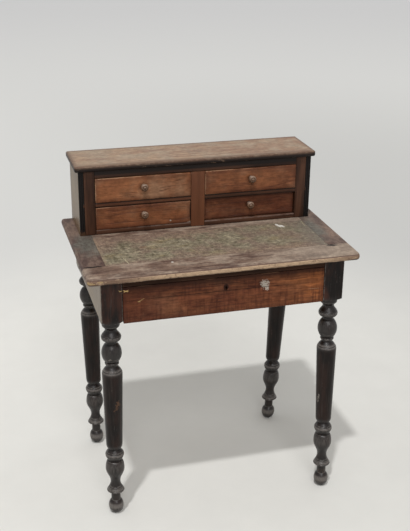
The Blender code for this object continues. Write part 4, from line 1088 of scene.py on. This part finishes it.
CASE_SIDE_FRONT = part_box("case_side_left")[0].y
REED_STAIN = (CASE_SIDE_FRONT + 0.0045, CASE_SIDE_FRONT + 0.0030)
REED_CHIP_LEVELS = (0.612, 0.606)
REED_CHIP_SIDE = (0.0, -0.1)
SIDE_RUDDY_LEVELS = (0.70, 0.61)
CASE_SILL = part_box("case_bottom")[0].z + CASE_FLOOR_BOARD
SILL_LEVELS = (CASE_SILL - 0.0032, CASE_SILL - 0.0016)
SILL_FRONT = (CASE_FRONT + 0.0040, CASE_FRONT + 0.0015)
SILL_SIDES = (-0.2, 0.1)
SHELF_EDGE_SHADE = (0.0032, 0.0018)
CASE_TOP_LOW, CASE_TOP_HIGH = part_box("case_top")
NOSE_SHADOW_LEVELS = (CASE_TOP_LOW.z - 0.0125, CASE_TOP_LOW.z - 0.0085)
CASE_TOP_FRONT_RIM = (CASE_TOP_LOW.y + 0.020, CASE_TOP_LOW.y + 0.003)
CASE_TOP_BACK_RIM = (CASE_TOP_HIGH.y - 0.012, CASE_TOP_HIGH.y - 0.002)
CASE_TOP_END_RIM = (CASE_TOP_HIGH.x - 0.012, CASE_TOP_HIGH.x - 0.002)
CASE_TOP_RUBBED = (CASE_TOP_HIGH.z - 0.0003, CASE_TOP_HIGH.z - 0.0016)
CASE_TOP_BLACKENED = (CASE_TOP_HIGH.z - 0.0014, CASE_TOP_HIGH.z - 0.0080)
CASE_TOP_BROWN_SIDE = (-0.04, 0.20)
PALE_SCAR = (0.192, 0.1155, 0.7638)
PALE_SCAR_REACH = (0.020, 0.006, 0.01)


def reeded_side(node):
    """A side board: its plan outline with three reeds in front, drawn up to the board's height."""
    low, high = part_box(node)
    reed = (high.x - low.x - (REEDS - 1) * REED_QUIRK) / REEDS
    outline = [(low.x, high.y), (low.x, low.y + REED_DEPTH)]
    for number in range(REEDS):
        middle = low.x + reed / 2 + number * (reed + REED_QUIRK)
        for step in range(REED_POINTS + 1):
            turn = math.pi * (step / REED_POINTS - 0.5)
            outline.append((middle + reed / 2 * math.sin(turn), low.y + REED_DEPTH * (1 - math.cos(turn))))
    outline.append((high.x, high.y))
    form = bmesh.new()
    form.faces.new([form.verts.new((x, y, low.z)) for x, y in outline])
    draw_up(form, high.z - low.z)
    bmesh.ops.remove_doubles(form, verts=form.verts[:], dist=MERGE_GAP)
    bmesh.ops.recalc_face_normals(form, faces=form.faces[:])
    cut_grid(form, low, high, CASE_SIDE_GRID)
    return form


def colour_of(material):
    """A finish's tree, its shader and its colour so far, to lay more over it."""
    tree = material.node_tree
    shader = tree.nodes["Principled BSDF"]
    return tree, shader, shader.inputs["Base Color"].links[0].from_socket


def case_side_wood():
    """Faded board, ruddy towards its foot, with black reeds that are chipped to brown low on the left."""
    material = faded_side_wood("case_side_wood", "Z")
    tree, shader, faded = colour_of(material)
    level = axis_of(tree, "Z")
    reeds = band(tree, axis_of(tree, "Y"), *REED_STAIN)
    foot = shaken(tree, level, clouds(tree, place(tree), 260), 0.03)
    chipped = times(tree, band(tree, foot, *REED_CHIP_LEVELS),
                    band(tree, axis_of(tree, "X"), *REED_CHIP_SIDE))
    brown = laid(tree, faded, SIDE_BROWN, band(tree, level, *SIDE_RUDDY_LEVELS), 0.6)
    black = laid(tree, REED_BLACK_AND_SHADOW, BARE_BROWN, chipped, 0.8)
    connect(tree, shader, Base_Color=mix(tree, reeds, brown, black))
    return material


def case_floor_wood():
    """The dark frame's wood, with the varnish worn through along the upper edge in front."""
    material = dark_walnut("case_floor_wood", "X")
    tree, shader, stained = colour_of(material)
    edge = times(tree, band(tree, axis_of(tree, "Z"), *SILL_LEVELS),
                 band(tree, axis_of(tree, "Y"), *SILL_FRONT))
    flakes = clouds(tree, along_grain(tree, "X", 40, 90), 1.0, 4.0, 0.65)
    rubbed = times(tree, edge, band(tree, flakes, 0.36, 0.58))
    share = between(tree, axis_of(tree, "X"), 0.35, 0.75, *SILL_SIDES)
    connect(tree, shader, Base_Color=laid(tree, stained, SILL_PALE, rubbed, share))
    return material


def case_rail_wood():
    """The dark frame's wood, black with painted shadow close under the top board."""
    material = dark_walnut("case_rail_wood", "X")
    tree, shader, stained = colour_of(material)
    # Painted shadow of the top board's nose on the rail.
    nose_shadow = band(tree, axis_of(tree, "Z"), *NOSE_SHADOW_LEVELS)
    connect(tree, shader, Base_Color=laid(tree, stained, REED_BLACK_AND_SHADOW, nose_shadow, 0.85))
    return material


def case_shelf_wood(node):
    """The dark frame's wood, with painted shade along both arrises of the shelf's front edge."""
    material = dark_walnut(node + "_wood", "X")
    tree, shader, stained = colour_of(material)
    level = axis_of(tree, "Z")
    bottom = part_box(node)[0].z
    top = bottom + SHELF_BOARD
    inner, outer = SHELF_EDGE_SHADE
    lower = band(tree, level, bottom + inner, bottom + outer)
    upper = band(tree, level, top - inner, top - outer)
    # Painted shade in the gaps above and below the shelf's front edge.
    grimy = maths(tree, "MAXIMUM", lower, upper)
    connect(tree, shader, Base_Color=laid(tree, stained, WALNUT_SHADE_BLACK, grimy, 0.8))
    return material


def blackened_edge(tree, colour, mottle):
    """Browns the top board towards its edge and leaves flaking black on its nose."""
    along, level = axis_of(tree, "Y"), axis_of(tree, "Z")
    ends = band(tree, maths(tree, "ABSOLUTE", axis_of(tree, "X")), *CASE_TOP_END_RIM)
    front_and_back = maths(tree, "MAXIMUM", band(tree, along, *CASE_TOP_FRONT_RIM),
                           band(tree, along, *CASE_TOP_BACK_RIM))
    rim = times(tree, maths(tree, "MAXIMUM", front_and_back, ends), 0.75)
    rubbed = maths(tree, "MAXIMUM", rim, band(tree, level, *CASE_TOP_RUBBED))
    colour = laid(tree, colour, CASE_TOP_EDGE, rubbed, band(tree, mottle, 0.24, 0.60))
    flakes = clouds(tree, along_grain(tree, "X", 60, 160), 1.0, 4.0, 0.6)
    black = laid(tree, CASE_TOP_BLACK, CASE_TOP_FLECK, band(tree, flakes, 0.62, 0.70), 0.5)
    nose = maths(tree, "SUBTRACT", shaken(tree, level, mottle, 0.004), times(tree, ends, 0.0012))
    return mix(tree, band(tree, nose, *CASE_TOP_BLACKENED), colour, black)


def case_top_wood():
    """Faded and bleached top board, brown towards its edge, with black left on its nose."""
    material, tree, shader = new_finish("faded_case_top")
    figure = clouds(tree, along_grain(tree, "X", 9, 105), 1.0, 6.0, 0.68)
    fibre = clouds(tree, along_grain(tree, "X", 45, 800), 1.0, 3.0, 0.6)
    patches = clouds(tree, place(tree), 24, 5.0, 0.6)
    mottle = clouds(tree, along_grain(tree, "X", 90, 180), 1.0, 5.0, 0.68)
    colour = mix(tree, band(tree, patches, 0.38, 0.60), CASE_TOP_GREY, CASE_TOP_TAN)
    colour = laid(tree, colour, CASE_TOP_PINK, band(tree, figure, 0.44, 0.66), 0.8)
    right = band(tree, axis_of(tree, "X"), *CASE_TOP_BROWN_SIDE)
    colour = laid(tree, colour, CASE_TOP_PINK, times(tree, right, band(tree, patches, 0.44, 0.60)), 0.45)
    colour = vary(tree, colour, fibre, 1.15, 0.82)
    colour = vary(tree, colour, mottle, 0.68, 1.32)
    pale = spot(tree, PALE_SCAR, PALE_SCAR_REACH, (0, 0, 0.5), 0.5, 200.0)
    colour = laid(tree, colour, CASE_TOP_FLECK, pale, 0.5)
    colour = blackened_edge(tree, colour, mottle)
    rough = between(tree, patches, 0.36, 0.55)
    shader.inputs["Specular IOR Level"].default_value = CASE_TOP_SHINE
    connect(tree, shader, Base_Color=colour, Roughness=rough, Normal=bump(tree, fibre, 0.00015))
    return material


case_side = case_side_wood()
for node, plank in (("case_side_left", 17.0), ("case_side_right", 18.0)):
    form = reeded_side(node)
    mark_crests(form)
    rub_down(form, CASE_SIDE_WEAR, CASE_DENT, plank)
    finish_piece(node, form, case_side, plank)

# Each board's node, material, grid, wear, plank and fading; a fading below zero lays painted shade.
CASE_BOARDS = (
    ("case_stile_left", walnut["Z"], FRAME_GRID, FRAME_WEAR, 19.0, 0.10),
    ("case_stile_right", walnut["Z"], FRAME_GRID, FRAME_WEAR, 20.0, 0.08),
    ("case_centre_stile", walnut["Z"], FRAME_GRID, FRAME_WEAR, 21.0, 0.95),
    ("case_top_rail", case_rail_wood(), FRAME_GRID, FRAME_WEAR, 22.0, -0.05),
    ("case_bottom", case_floor_wood(), CASE_FLOOR_GRID, CASE_FLOOR_WEAR, 23.0, 0.06),
    ("case_shelf_left", case_shelf_wood("case_shelf_left"), SHELF_GRID, FRAME_WEAR, 24.0, 0.50),
    ("case_shelf_right", case_shelf_wood("case_shelf_right"), SHELF_GRID, FRAME_WEAR, 25.0, 0.10),
    ("case_back", plain["X"], CASE_BACK_GRID, CASE_BACK_WEAR, 26.0, 0.0),
)
for node, material, grid, wear, plank, fade in CASE_BOARDS:
    old_board(node, material, BOARD_ARRIS, grid, wear, plank, fade)
inner_board("case_partition", plain["Z"], 27.0)
form = rounded_plate(CASE_TOP_LOW, CASE_TOP_HIGH, CASE_TOP_CORNER, TOP_SPARE)
round_nose(form, CASE_TOP_NOSE, CASE_TOP_NOSE_SEGMENTS)
keep_side(form, CASE_TOP_HIGH, (0, 1, 0))
cut_grid(form, CASE_TOP_LOW, CASE_TOP_HIGH, TOP_GRID)
mark_crests(form)
rub_down(form, CASE_TOP_WEAR, CASE_DENT, 28.0)
finish_piece("case_top", form, case_top_wood(), 28.0)


# Wide drawer
# A red-brown front with plain sides, back and bottom, dovetailed together. A small iron lock is let into
# the back of the front, behind a bare keyhole, and its bolt rises into the rail above.

FRONT_GRID = 0.007
FRONT_ARRIS = 0.0009
FRONT_WEAR = 0.0006
WIDE_FRONT_FADE = 0.12

WIDE_FRONT_SHINE = 0.08
MAHOGANY_RED = (0.153, 0.049, 0.024)
MAHOGANY_EVEN = (0.118, 0.0380, 0.0195)
MAHOGANY_DARK = (0.064, 0.0205, 0.0125)
MAHOGANY_BLACK = (0.020, 0.0090, 0.0065)
MAHOGANY_ORANGE = (0.350, 0.138, 0.058)
MAHOGANY_FLAME = (0.440, 0.150, 0.045)
MAHOGANY_BLOOM = (0.335, 0.195, 0.115)
MAHOGANY_EDGE_WEAR_AND_HIGHLIGHT = (0.42, 0.24, 0.14)
TORN_WHITE = (0.50, 0.45, 0.385)
IRON_GREY = (0.20, 0.18, 0.165)
IRON_RUST = (0.105, 0.046, 0.024)
SMALL_DRAWER_CORNERS = ("upper_left", "upper_right", "lower_left", "lower_right")

WIDE_FRONT_DEPTH = (0.0, -0.1)
WIDE_FRONT_RIGHT = (0.06, 0.22)
WIDE_FRONT_LEFT = (-0.06, -0.20)
RIPPLED_LEVELS = (0.535, 0.505)
SHADED_LEVELS = (0.545, 0.570)
GRIMY_RIM = (0.013, 0.001)
KNOB_HALO_OFFSET = 0.001
KNOB_HALO_REACH = (0.0135, 0.03, 0.0125)
LEFT_EDGE_INSET = 0.0006
LEFT_EDGE_REACH = (0.0014, 0.01, 0.022)
TOP_EDGE_ALONG = 0.034
TOP_EDGE_INSET = 0.0004
TOP_EDGE_REACH = (0.036, 0.01, 0.0012)
GAP_REACH = (0.0032, 0.01, 0.024)

# Each mark's centre, reach, turn, raggedness, colour and share.
FRONT_MARKS = (
    ((0.0868, -0.171, 0.5440), (0.0100, 0.01, 0.0098), 0.4, 0.6, TORN_WHITE, 1.0),
    ((0.0910, -0.171, 0.5360), (0.0050, 0.01, 0.0080), -0.3, 0.6, TORN_WHITE, 0.95),
    ((-0.2185, -0.171, 0.5605), (0.0070, 0.01, 0.0012), 0.32, 0.3, SPLINTER, 0.95),
    ((-0.2170, -0.171, 0.5600), (0.0065, 0.01, 0.0010), -0.36, 0.3, SPLINTER, 0.95),
    ((-0.1850, -0.171, 0.5365), (0.0070, 0.01, 0.0009), -0.45, 0.5, SPLINTER, 0.55),
    ((-0.1905, -0.171, 0.5335), (0.0040, 0.01, 0.0010), 0.20, 0.5, SPLINTER, 0.5),
    ((0.2000, -0.171, 0.5203), (0.0140, 0.01, 0.0008), 0.03, 0.3, MAHOGANY_EDGE_WEAR_AND_HIGHLIGHT, 0.5),
    ((0.0000, -0.171, 0.5545), (0.0500, 0.01, 0.0009), 0.02, 0.3, MAHOGANY_BLACK, 0.8),
    ((-0.0200, -0.171, 0.5375), (0.1950, 0.01, 0.0009), 0.002, 0.2, MAHOGANY_BLACK, 0.8),
    ((-0.0005, -0.171, 0.5458), (0.0058, 0.01, 0.0080), 0.0, 0.4, MAHOGANY_BLACK, 0.9),
    ((-0.0651, 0.063, 0.6197), (0.0024, 0.02, 0.0022), 0.0, 0.3, TORN_WHITE, 0.9),
    ((-0.0210, 0.063, 0.6125), (0.0050, 0.02, 0.0016), -0.15, 0.3, TORN_WHITE, 0.9),
)


def red_brown_grain(tree, patches, wide):
    """The wood's streaky red-brown, faded to orange, with flames on the right of the wide front."""
    fade = own(tree, "fade")
    across = axis_of(tree, "X")
    grain = clouds(tree, along_grain(tree, "X", 12, 150), 1.0, 6.0, 0.68)
    bloom = clouds(tree, along_grain(tree, "X", 10, 13), 1.0, 4.0, 0.6)
    right = times(tree, wide, band(tree, across, *WIDE_FRONT_RIGHT))
    left = times(tree, wide, band(tree, across, *WIDE_FRONT_LEFT))
    orange = maths(tree, "SUBTRACT", shaken(tree, fade, patches, 1.1), times(tree, left, 0.16))
    colour = mix(tree, band(tree, grain, 0.28, 0.62), MAHOGANY_DARK, MAHOGANY_RED)
    colour = mix(tree, between(tree, wide, 0.45, 0.0), colour, MAHOGANY_EVEN)
    colour = mix(tree, orange, colour, MAHOGANY_ORANGE)
    flames = times(tree, right, band(tree, grain, 0.50, 0.66))
    colour = laid(tree, colour, MAHOGANY_FLAME, right, 0.24)
    colour = laid(tree, colour, MAHOGANY_FLAME, flames, 0.45)
    colour = laid(tree, colour, MAHOGANY_DARK, left, 0.30)
    return laid(tree, colour, MAHOGANY_BLOOM, band(tree, bloom, 0.46, 0.68), fade)


def ripples(tree, patches, wide):
    """Where the figure ripples across the grain, most on the lower part of the wide front."""
    figure = clouds(tree, along_grain(tree, "Z", 14, 190), 1.0, 4.0, 0.65)
    low_part = times(tree, wide, band(tree, axis_of(tree, "Z"), *RIPPLED_LEVELS))
    where = maths(tree, "MAXIMUM", band(tree, patches, 0.60, 0.40), low_part)
    unfaded = between(tree, own(tree, "fade"), 0.65, 0.20, 0.0, 0.5)
    sharpness = times(tree, unfaded, between(tree, wide, 0.3, 1.0))
    return times(tree, times(tree, band(tree, figure, 0.46, 0.62), where), sharpness)


def handled_edges(tree, colour, patches, mottle, wide):
    """Lays grime inside the edges, painted shade under the top, bare wood on the edges, and a dark halo
    round each knob.
    """
    grimy = times(tree, band(tree, own(tree, "rim"), *GRIMY_RIM), band(tree, mottle, 0.28, 0.60))
    colour = laid(tree, colour, MAHOGANY_DARK, grimy, 0.6)
    # Painted shade under the top's overhang.
    shaded = times(tree, wide, band(tree, axis_of(tree, "Z"), *SHADED_LEVELS))
    colour = laid(tree, colour, MAHOGANY_BLACK, shaded, 0.80)
    worn = times(tree, band(tree, own(tree, "crest"), 0.15, 0.55), band(tree, patches, 0.50, 0.66))
    edge_share = maths(tree, "ADD", times(tree, own(tree, "fade"), 0.8), 0.15)
    colour = laid(tree, colour, MAHOGANY_EDGE_WEAR_AND_HIGHLIGHT, worn, edge_share)
    for corner in SMALL_DRAWER_CORNERS:
        low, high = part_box("drawer_" + corner + "_knob")
        middle = (low + high) / 2
        # A dark halo round each knob, set a little low and to the left.
        halo_centre = (middle.x - KNOB_HALO_OFFSET, middle.y, middle.z - KNOB_HALO_OFFSET)
        halo = spot(tree, halo_centre, KNOB_HALO_REACH, ragged=0.2, grit=150.0, soft=0.7)
        colour = laid(tree, colour, MAHOGANY_BLACK, halo, 0.6)
    return colour


def marked_fronts(tree, colour):
    """Lays single marks over the fronts, pale top and left edges on two small ones, partly wear and partly
    painted highlight, and painted shade at the edge of a third.
    """
    specks = band(tree, clouds(tree, place(tree), 520, 3.0), 0.36, 0.50)
    for centre, reach, angle, ragged, tone, share in FRONT_MARKS:
        mark = spot(tree, centre, reach, (0, angle, 0), ragged, 420.0)
        if tone is TORN_WHITE:
            mark = times(tree, mark, specks)
        colour = laid(tree, colour, tone, mark, share)
    # Pale top and left edges, partly wear and partly painted highlight.
    for corner in ("upper_left", "upper_right"):
        low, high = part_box("drawer_" + corner + "_front")
        on_left = (low.x + LEFT_EDGE_INSET, low.y, (low.z + high.z) / 2)
        on_top = (low.x + TOP_EDGE_ALONG, low.y, high.z - TOP_EDGE_INSET)
        rubbed = maths(tree, "MAXIMUM", spot(tree, on_left, LEFT_EDGE_REACH, ragged=0.5),
                       spot(tree, on_top, TOP_EDGE_REACH, ragged=0.5))
        colour = laid(tree, colour, MAHOGANY_EDGE_WEAR_AND_HIGHLIGHT, rubbed, 0.6)
    # Painted shade in the gap at the lower left drawer's right edge.
    low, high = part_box("drawer_lower_left_front")
    gap = spot(tree, (high.x, low.y, (low.z + high.z) / 2), GAP_REACH, ragged=0.2)
    return laid(tree, colour, MAHOGANY_BLACK, gap, 0.9)


def mahogany(front, shine):
    """Red-brown wood under old varnish, cloudy and grimy, with rippled figure, cracks and bare marks."""
    material, tree, shader = new_finish("mahogany_" + front)
    fibre = clouds(tree, along_grain(tree, "X", 45, 900), 1.0, 3.0, 0.6)
    patches = clouds(tree, along_grain(tree, "X", 16, 26), 1.0, 3.0)
    mottle = clouds(tree, along_grain(tree, "X", 90, 240), 1.0, 4.0, 0.65)
    cloudy = clouds(tree, along_grain(tree, "X", 50, 75), 1.0, 4.0, 0.6)
    cracks = clouds(tree, along_grain(tree, "X", 2.5, 95), 1.0, 2.0)
    wide = band(tree, axis_of(tree, "Y"), *WIDE_FRONT_DEPTH)
    colour = red_brown_grain(tree, patches, wide)
    colour = mix(tree, ripples(tree, patches, wide), colour, MAHOGANY_DARK)
    colour = vary(tree, colour, mottle, 0.80, 1.20)
    colour = vary(tree, colour, cloudy, 0.72, 1.28)
    colour = laid(tree, colour, MAHOGANY_DARK, band(tree, fibre, 0.54, 0.76), 0.22)
    crack = times(tree, band(tree, cracks, 0.485, 0.5), band(tree, cracks, 0.515, 0.5))
    colour = laid(tree, colour, MAHOGANY_DARK, crack, 0.6)
    colour = handled_edges(tree, colour, patches, mottle, wide)
    colour = marked_fronts(tree, colour)
    sheen = between(tree, patches, 0.26, 0.44)
    relief = maths(tree, "ADD", fibre, times(tree, crack, -3.0))
    shader.inputs["Specular IOR Level"].default_value = shine
    connect(tree, shader, Base_Color=colour, Roughness=sheen, Normal=bump(tree, relief, 0.00012))
    return material


def old_iron():
    """Dark hand-forged iron with rust on it."""
    material, tree, shader = new_finish("old_iron")
    rust = clouds(tree, place(tree), 170, 5.0, 0.65)
    rusty = band(tree, rust, 0.46, 0.62)
    colour = mix(tree, rusty, IRON_GREY, IRON_RUST)
    bare = between(tree, rusty, 0.9, 0.0)
    rough = between(tree, rust, 0.4, 0.85)
    connect(tree, shader, Base_Color=colour, Metallic=bare, Roughness=rough, Normal=bump(tree, rust, 0.0003))
    return material


iron = old_iron()
wide_front_wood = mahogany("wide_front", WIDE_FRONT_SHINE)
old_board("main_drawer_front", wide_front_wood, FRONT_ARRIS, FRONT_GRID, FRONT_WEAR, 29.0, WIDE_FRONT_FADE)
inner_board("main_drawer_side_left", plain["Y"], 30.0)
inner_board("main_drawer_side_right", plain["Y"], 31.0)
inner_board("main_drawer_back", plain["X"], 32.0)
inner_board("main_drawer_bottom", plain["X"], 33.0)
inner_board("lock_case", iron, 34.0)
inner_board("lock_bolt", iron, 35.0)


# Small drawers
# Four small drawers made like the wide one, with thinner stock. Each front has faded differently, and each
# has one small turned knob with a button on its face, glued into a hole.

SMALL_GRID = 0.006
SMALL_ARRIS = 0.0010
SMALL_WEAR = 0.0008
SMALL_FRONT_SHINE = 0.19
SMALL_PLANKS = (36.0, 42.0, 48.0, 54.0)
SMALL_FADES = (0.68, 0.36, 0.42, 0.12)
SMALL_BOARDS = (("_side_left", "Y"), ("_side_right", "Y"), ("_back", "X"), ("_bottom", "X"))
KNOB_STEPS = 64
KNOB_OUTLINE = (
    (0.0, -0.0095), (0.0030, -0.0095), (0.0030, 0.0002), (0.0056, 0.0002), (0.0058, 0.0006),
    (0.0058, 0.0016), (0.0054, 0.0020), (0.0044, 0.0024), (0.0040, 0.0036), (0.0040, 0.0050),
    (0.0044, 0.0062), (0.0056, 0.0071), (0.0070, 0.0080), (0.0080, 0.0092), (0.0085, 0.0106),
    (0.0086, 0.0116), (0.0083, 0.0130), (0.0076, 0.0142), (0.0066, 0.0150), (0.0054, 0.0154),
    (0.0044, 0.0154), (0.0036, 0.0150), (0.0033, 0.0151), (0.0032, 0.0158), (0.0027, 0.0165),
    (0.0016, 0.0169), (0.0, 0.0169),
)
KNOB_BROWN = (0.110, 0.052, 0.027)
KNOB_GREY = (0.185, 0.100, 0.057)
KNOB_GRIME_AND_SHADE = (0.014, 0.0075, 0.0055)
KNOB_TOP_LIGHT = (0.330, 0.235, 0.175)


def knob_wood():
    """Handled wood, greyish on its round and dark in its hollows, with painted light on its upper side and
    painted shade underneath.
    """
    material, tree, shader = new_finish("knob_wood")
    crest = own(tree, "crest")
    speckle = clouds(tree, place(tree), 420, 4.0)
    colour = mix(tree, band(tree, speckle, 0.38, 0.64), KNOB_BROWN, KNOB_GREY)
    colour = laid(tree, colour, KNOB_GREY, band(tree, crest, 0.2, 0.6), 0.5)
    colour = laid(tree, colour, KNOB_GRIME_AND_SHADE, band(tree, crest, 0.0, -0.4), 0.8)
    # Painted light on the upper side and painted shade underneath.
    upward = facing_up(tree)
    colour = laid(tree, colour, KNOB_TOP_LIGHT, band(tree, upward, 0.05, 0.75), 0.65)
    colour = laid(tree, colour, KNOB_GRIME_AND_SHADE, band(tree, upward, 0.0, -0.7), 0.75)
    sheen = between(tree, speckle, 0.20, 0.36)
    connect(tree, shader, Base_Color=colour, Roughness=sheen, Normal=bump(tree, speckle, 0.00003))
    return material


def knob_form(node):
    """The knob spun on its own axis, then turned to face the sitter and set in its drawer front."""
    form = spun(KNOB_OUTLINE, KNOB_STEPS)
    bmesh.ops.rotate(form, verts=form.verts[:], cent=(0, 0, 0), matrix=Matrix.Rotation(math.pi / 2, 3, "X"))
    low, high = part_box(node)
    tail = max(-level for radius, level in KNOB_OUTLINE)
    bmesh.ops.translate(form, verts=form.verts[:],
                        vec=((low.x + high.x) / 2, high.y - tail, (low.z + high.z) / 2))
    return form


small_front_wood = mahogany("small_fronts", SMALL_FRONT_SHINE)
turned_knob = knob_wood()
for corner, plank, fade in zip(SMALL_DRAWER_CORNERS, SMALL_PLANKS, SMALL_FADES):
    drawer = "drawer_" + corner
    old_board(drawer + "_front", small_front_wood, SMALL_ARRIS, SMALL_GRID, SMALL_WEAR, plank, fade)
    for number, (board, grain) in enumerate(SMALL_BOARDS, 1):
        inner_board(drawer + board, plain[grain], plank + number)
    form = knob_form(drawer + "_knob")
    mark_crests(form)
    finish_piece(drawer + "_knob", form, turned_knob, plank + 5)


# Studio
# A plain pale floor that darkens a little far off and to the right, a lamp high on the left with a broad
# soft one in front, even light all round, and the camera where the photograph was taken.

FLOOR_REACH = 30.0
FLOOR_STEPS = 96
FLOOR_ROUGHNESS = 0.9
FLOOR_NEAR = (0.765, 0.758, 0.722)
FLOOR_MIDDLE = (0.645, 0.645, 0.628)
FLOOR_FAR = (0.560, 0.560, 0.562)
NEAR_TO_MIDDLE = (0.8, 1.7)
MIDDLE_TO_FAR = (3.0, 9.0)
FLOOR_DIMMING = 0.14
DIMMING_SIDES = (-0.2, 1.2)
DIMMING_ENDS = (5.0, 2.5)
SKY_AT_HORIZON = 0.20
SKY_OVERHEAD = 0.68
SKY_TONE = (1.0, 0.99, 0.97, 1.0)

# Each lamp's name, strength, spread, elevation and azimuth.
LAMPS = (
    ("key_lamp", 1.28, math.radians(2.5), math.radians(69), math.radians(32)),
    ("fill_lamp", 0.72, math.radians(25), math.radians(42), math.radians(5)),
)

CAMERA_PLACE = (-0.5589, -1.9727, 1.3831)
CAMERA_AZIMUTH = math.radians(15.834)
CAMERA_ELEVATION = math.radians(22.679)
CAMERA_ROLL = math.radians(0.585)
CAMERA_LENS = 65.60
CAMERA_SENSOR = 36.0

form = bmesh.new()
bmesh.ops.create_circle(form, cap_ends=True, segments=FLOOR_STEPS, radius=FLOOR_REACH)
floor_mesh = bpy.data.meshes.new("floor")
form.to_mesh(floor_mesh)
form.free()
floor = bpy.data.objects.new("floor", floor_mesh)
bpy.context.scene.collection.objects.link(floor)
floor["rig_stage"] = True

paint, tree, shader = new_finish("pale_floor")
distance = add(tree, "VectorMath", {0: place(tree)}, "Value", operation="LENGTH")
shader.inputs["Roughness"].default_value = FLOOR_ROUGHNESS
far_paint = mix(tree, band(tree, distance, *MIDDLE_TO_FAR), FLOOR_MIDDLE, FLOOR_FAR)
near_paint = vary(tree, FLOOR_NEAR, clouds(tree, place(tree), 7, 6.0, 0.6), 0.975, 1.02)
even_paint = mix(tree, band(tree, distance, *NEAR_TO_MIDDLE), near_paint, far_paint)
to_right = between(tree, axis_of(tree, "X"), 0.0, FLOOR_DIMMING, *DIMMING_SIDES)
dimming = maths(tree, "SUBTRACT", 1.0, times(tree, to_right, band(tree, distance, *DIMMING_ENDS)))
connect(tree, shader, Base_Color=mix(tree, 1.0, even_paint, dimming, "MULTIPLY"))
floor_mesh.materials.append(paint)

world = bpy.data.worlds.new("even_light")
world.use_nodes = True
sky = world.node_tree
height = add(sky, "SeparateXYZ", {0: add(sky, "TexCoord", {}, "Generated")}, "Z")
glow = between(sky, height, SKY_AT_HORIZON, SKY_OVERHEAD)
lit = add(sky, "Background", {"Color": SKY_TONE, "Strength": glow})
seen = add(sky, "Background", {"Color": (*FLOOR_FAR, 1.0), "Strength": 1.0})
straight_on = maths(sky, "MAXIMUM", add(sky, "LightPath", {}, "Is Camera Ray"),
                    maths(sky, "MAXIMUM", add(sky, "LightPath", {}, "Is Glossy Ray"),
                          add(sky, "LightPath", {}, "Is Transmission Ray")))
either = add(sky, "MixShader", {0: straight_on, 1: lit, 2: seen})
sky.links.new(either, sky.nodes["World Output"].inputs["Surface"])
bpy.context.scene.world = world

for name, strength, spread, elevation, azimuth in LAMPS:
    lamp_data = bpy.data.lights.new(name, "SUN")
    lamp_data.energy = strength
    lamp_data.angle = spread
    lamp = bpy.data.objects.new(name, lamp_data)
    lamp.rotation_euler = Euler((math.pi / 2 - elevation, 0, -azimuth), "XYZ")
    bpy.context.scene.collection.objects.link(lamp)

camera_data = bpy.data.cameras.new("camera")
camera_data.sensor_width = CAMERA_SENSOR
camera_data.lens = CAMERA_LENS
camera = bpy.data.objects.new("camera", camera_data)
aim = (Matrix.Rotation(-CAMERA_AZIMUTH, 4, "Z") @ Matrix.Rotation(math.pi / 2 - CAMERA_ELEVATION, 4, "X")
       @ Matrix.Rotation(CAMERA_ROLL, 4, "Z"))
camera.matrix_world = Matrix.Translation(CAMERA_PLACE) @ aim
bpy.context.scene.collection.objects.link(camera)
bpy.context.scene.camera = camera
bpy.context.scene.view_settings.view_transform = "Standard"

low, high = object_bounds()
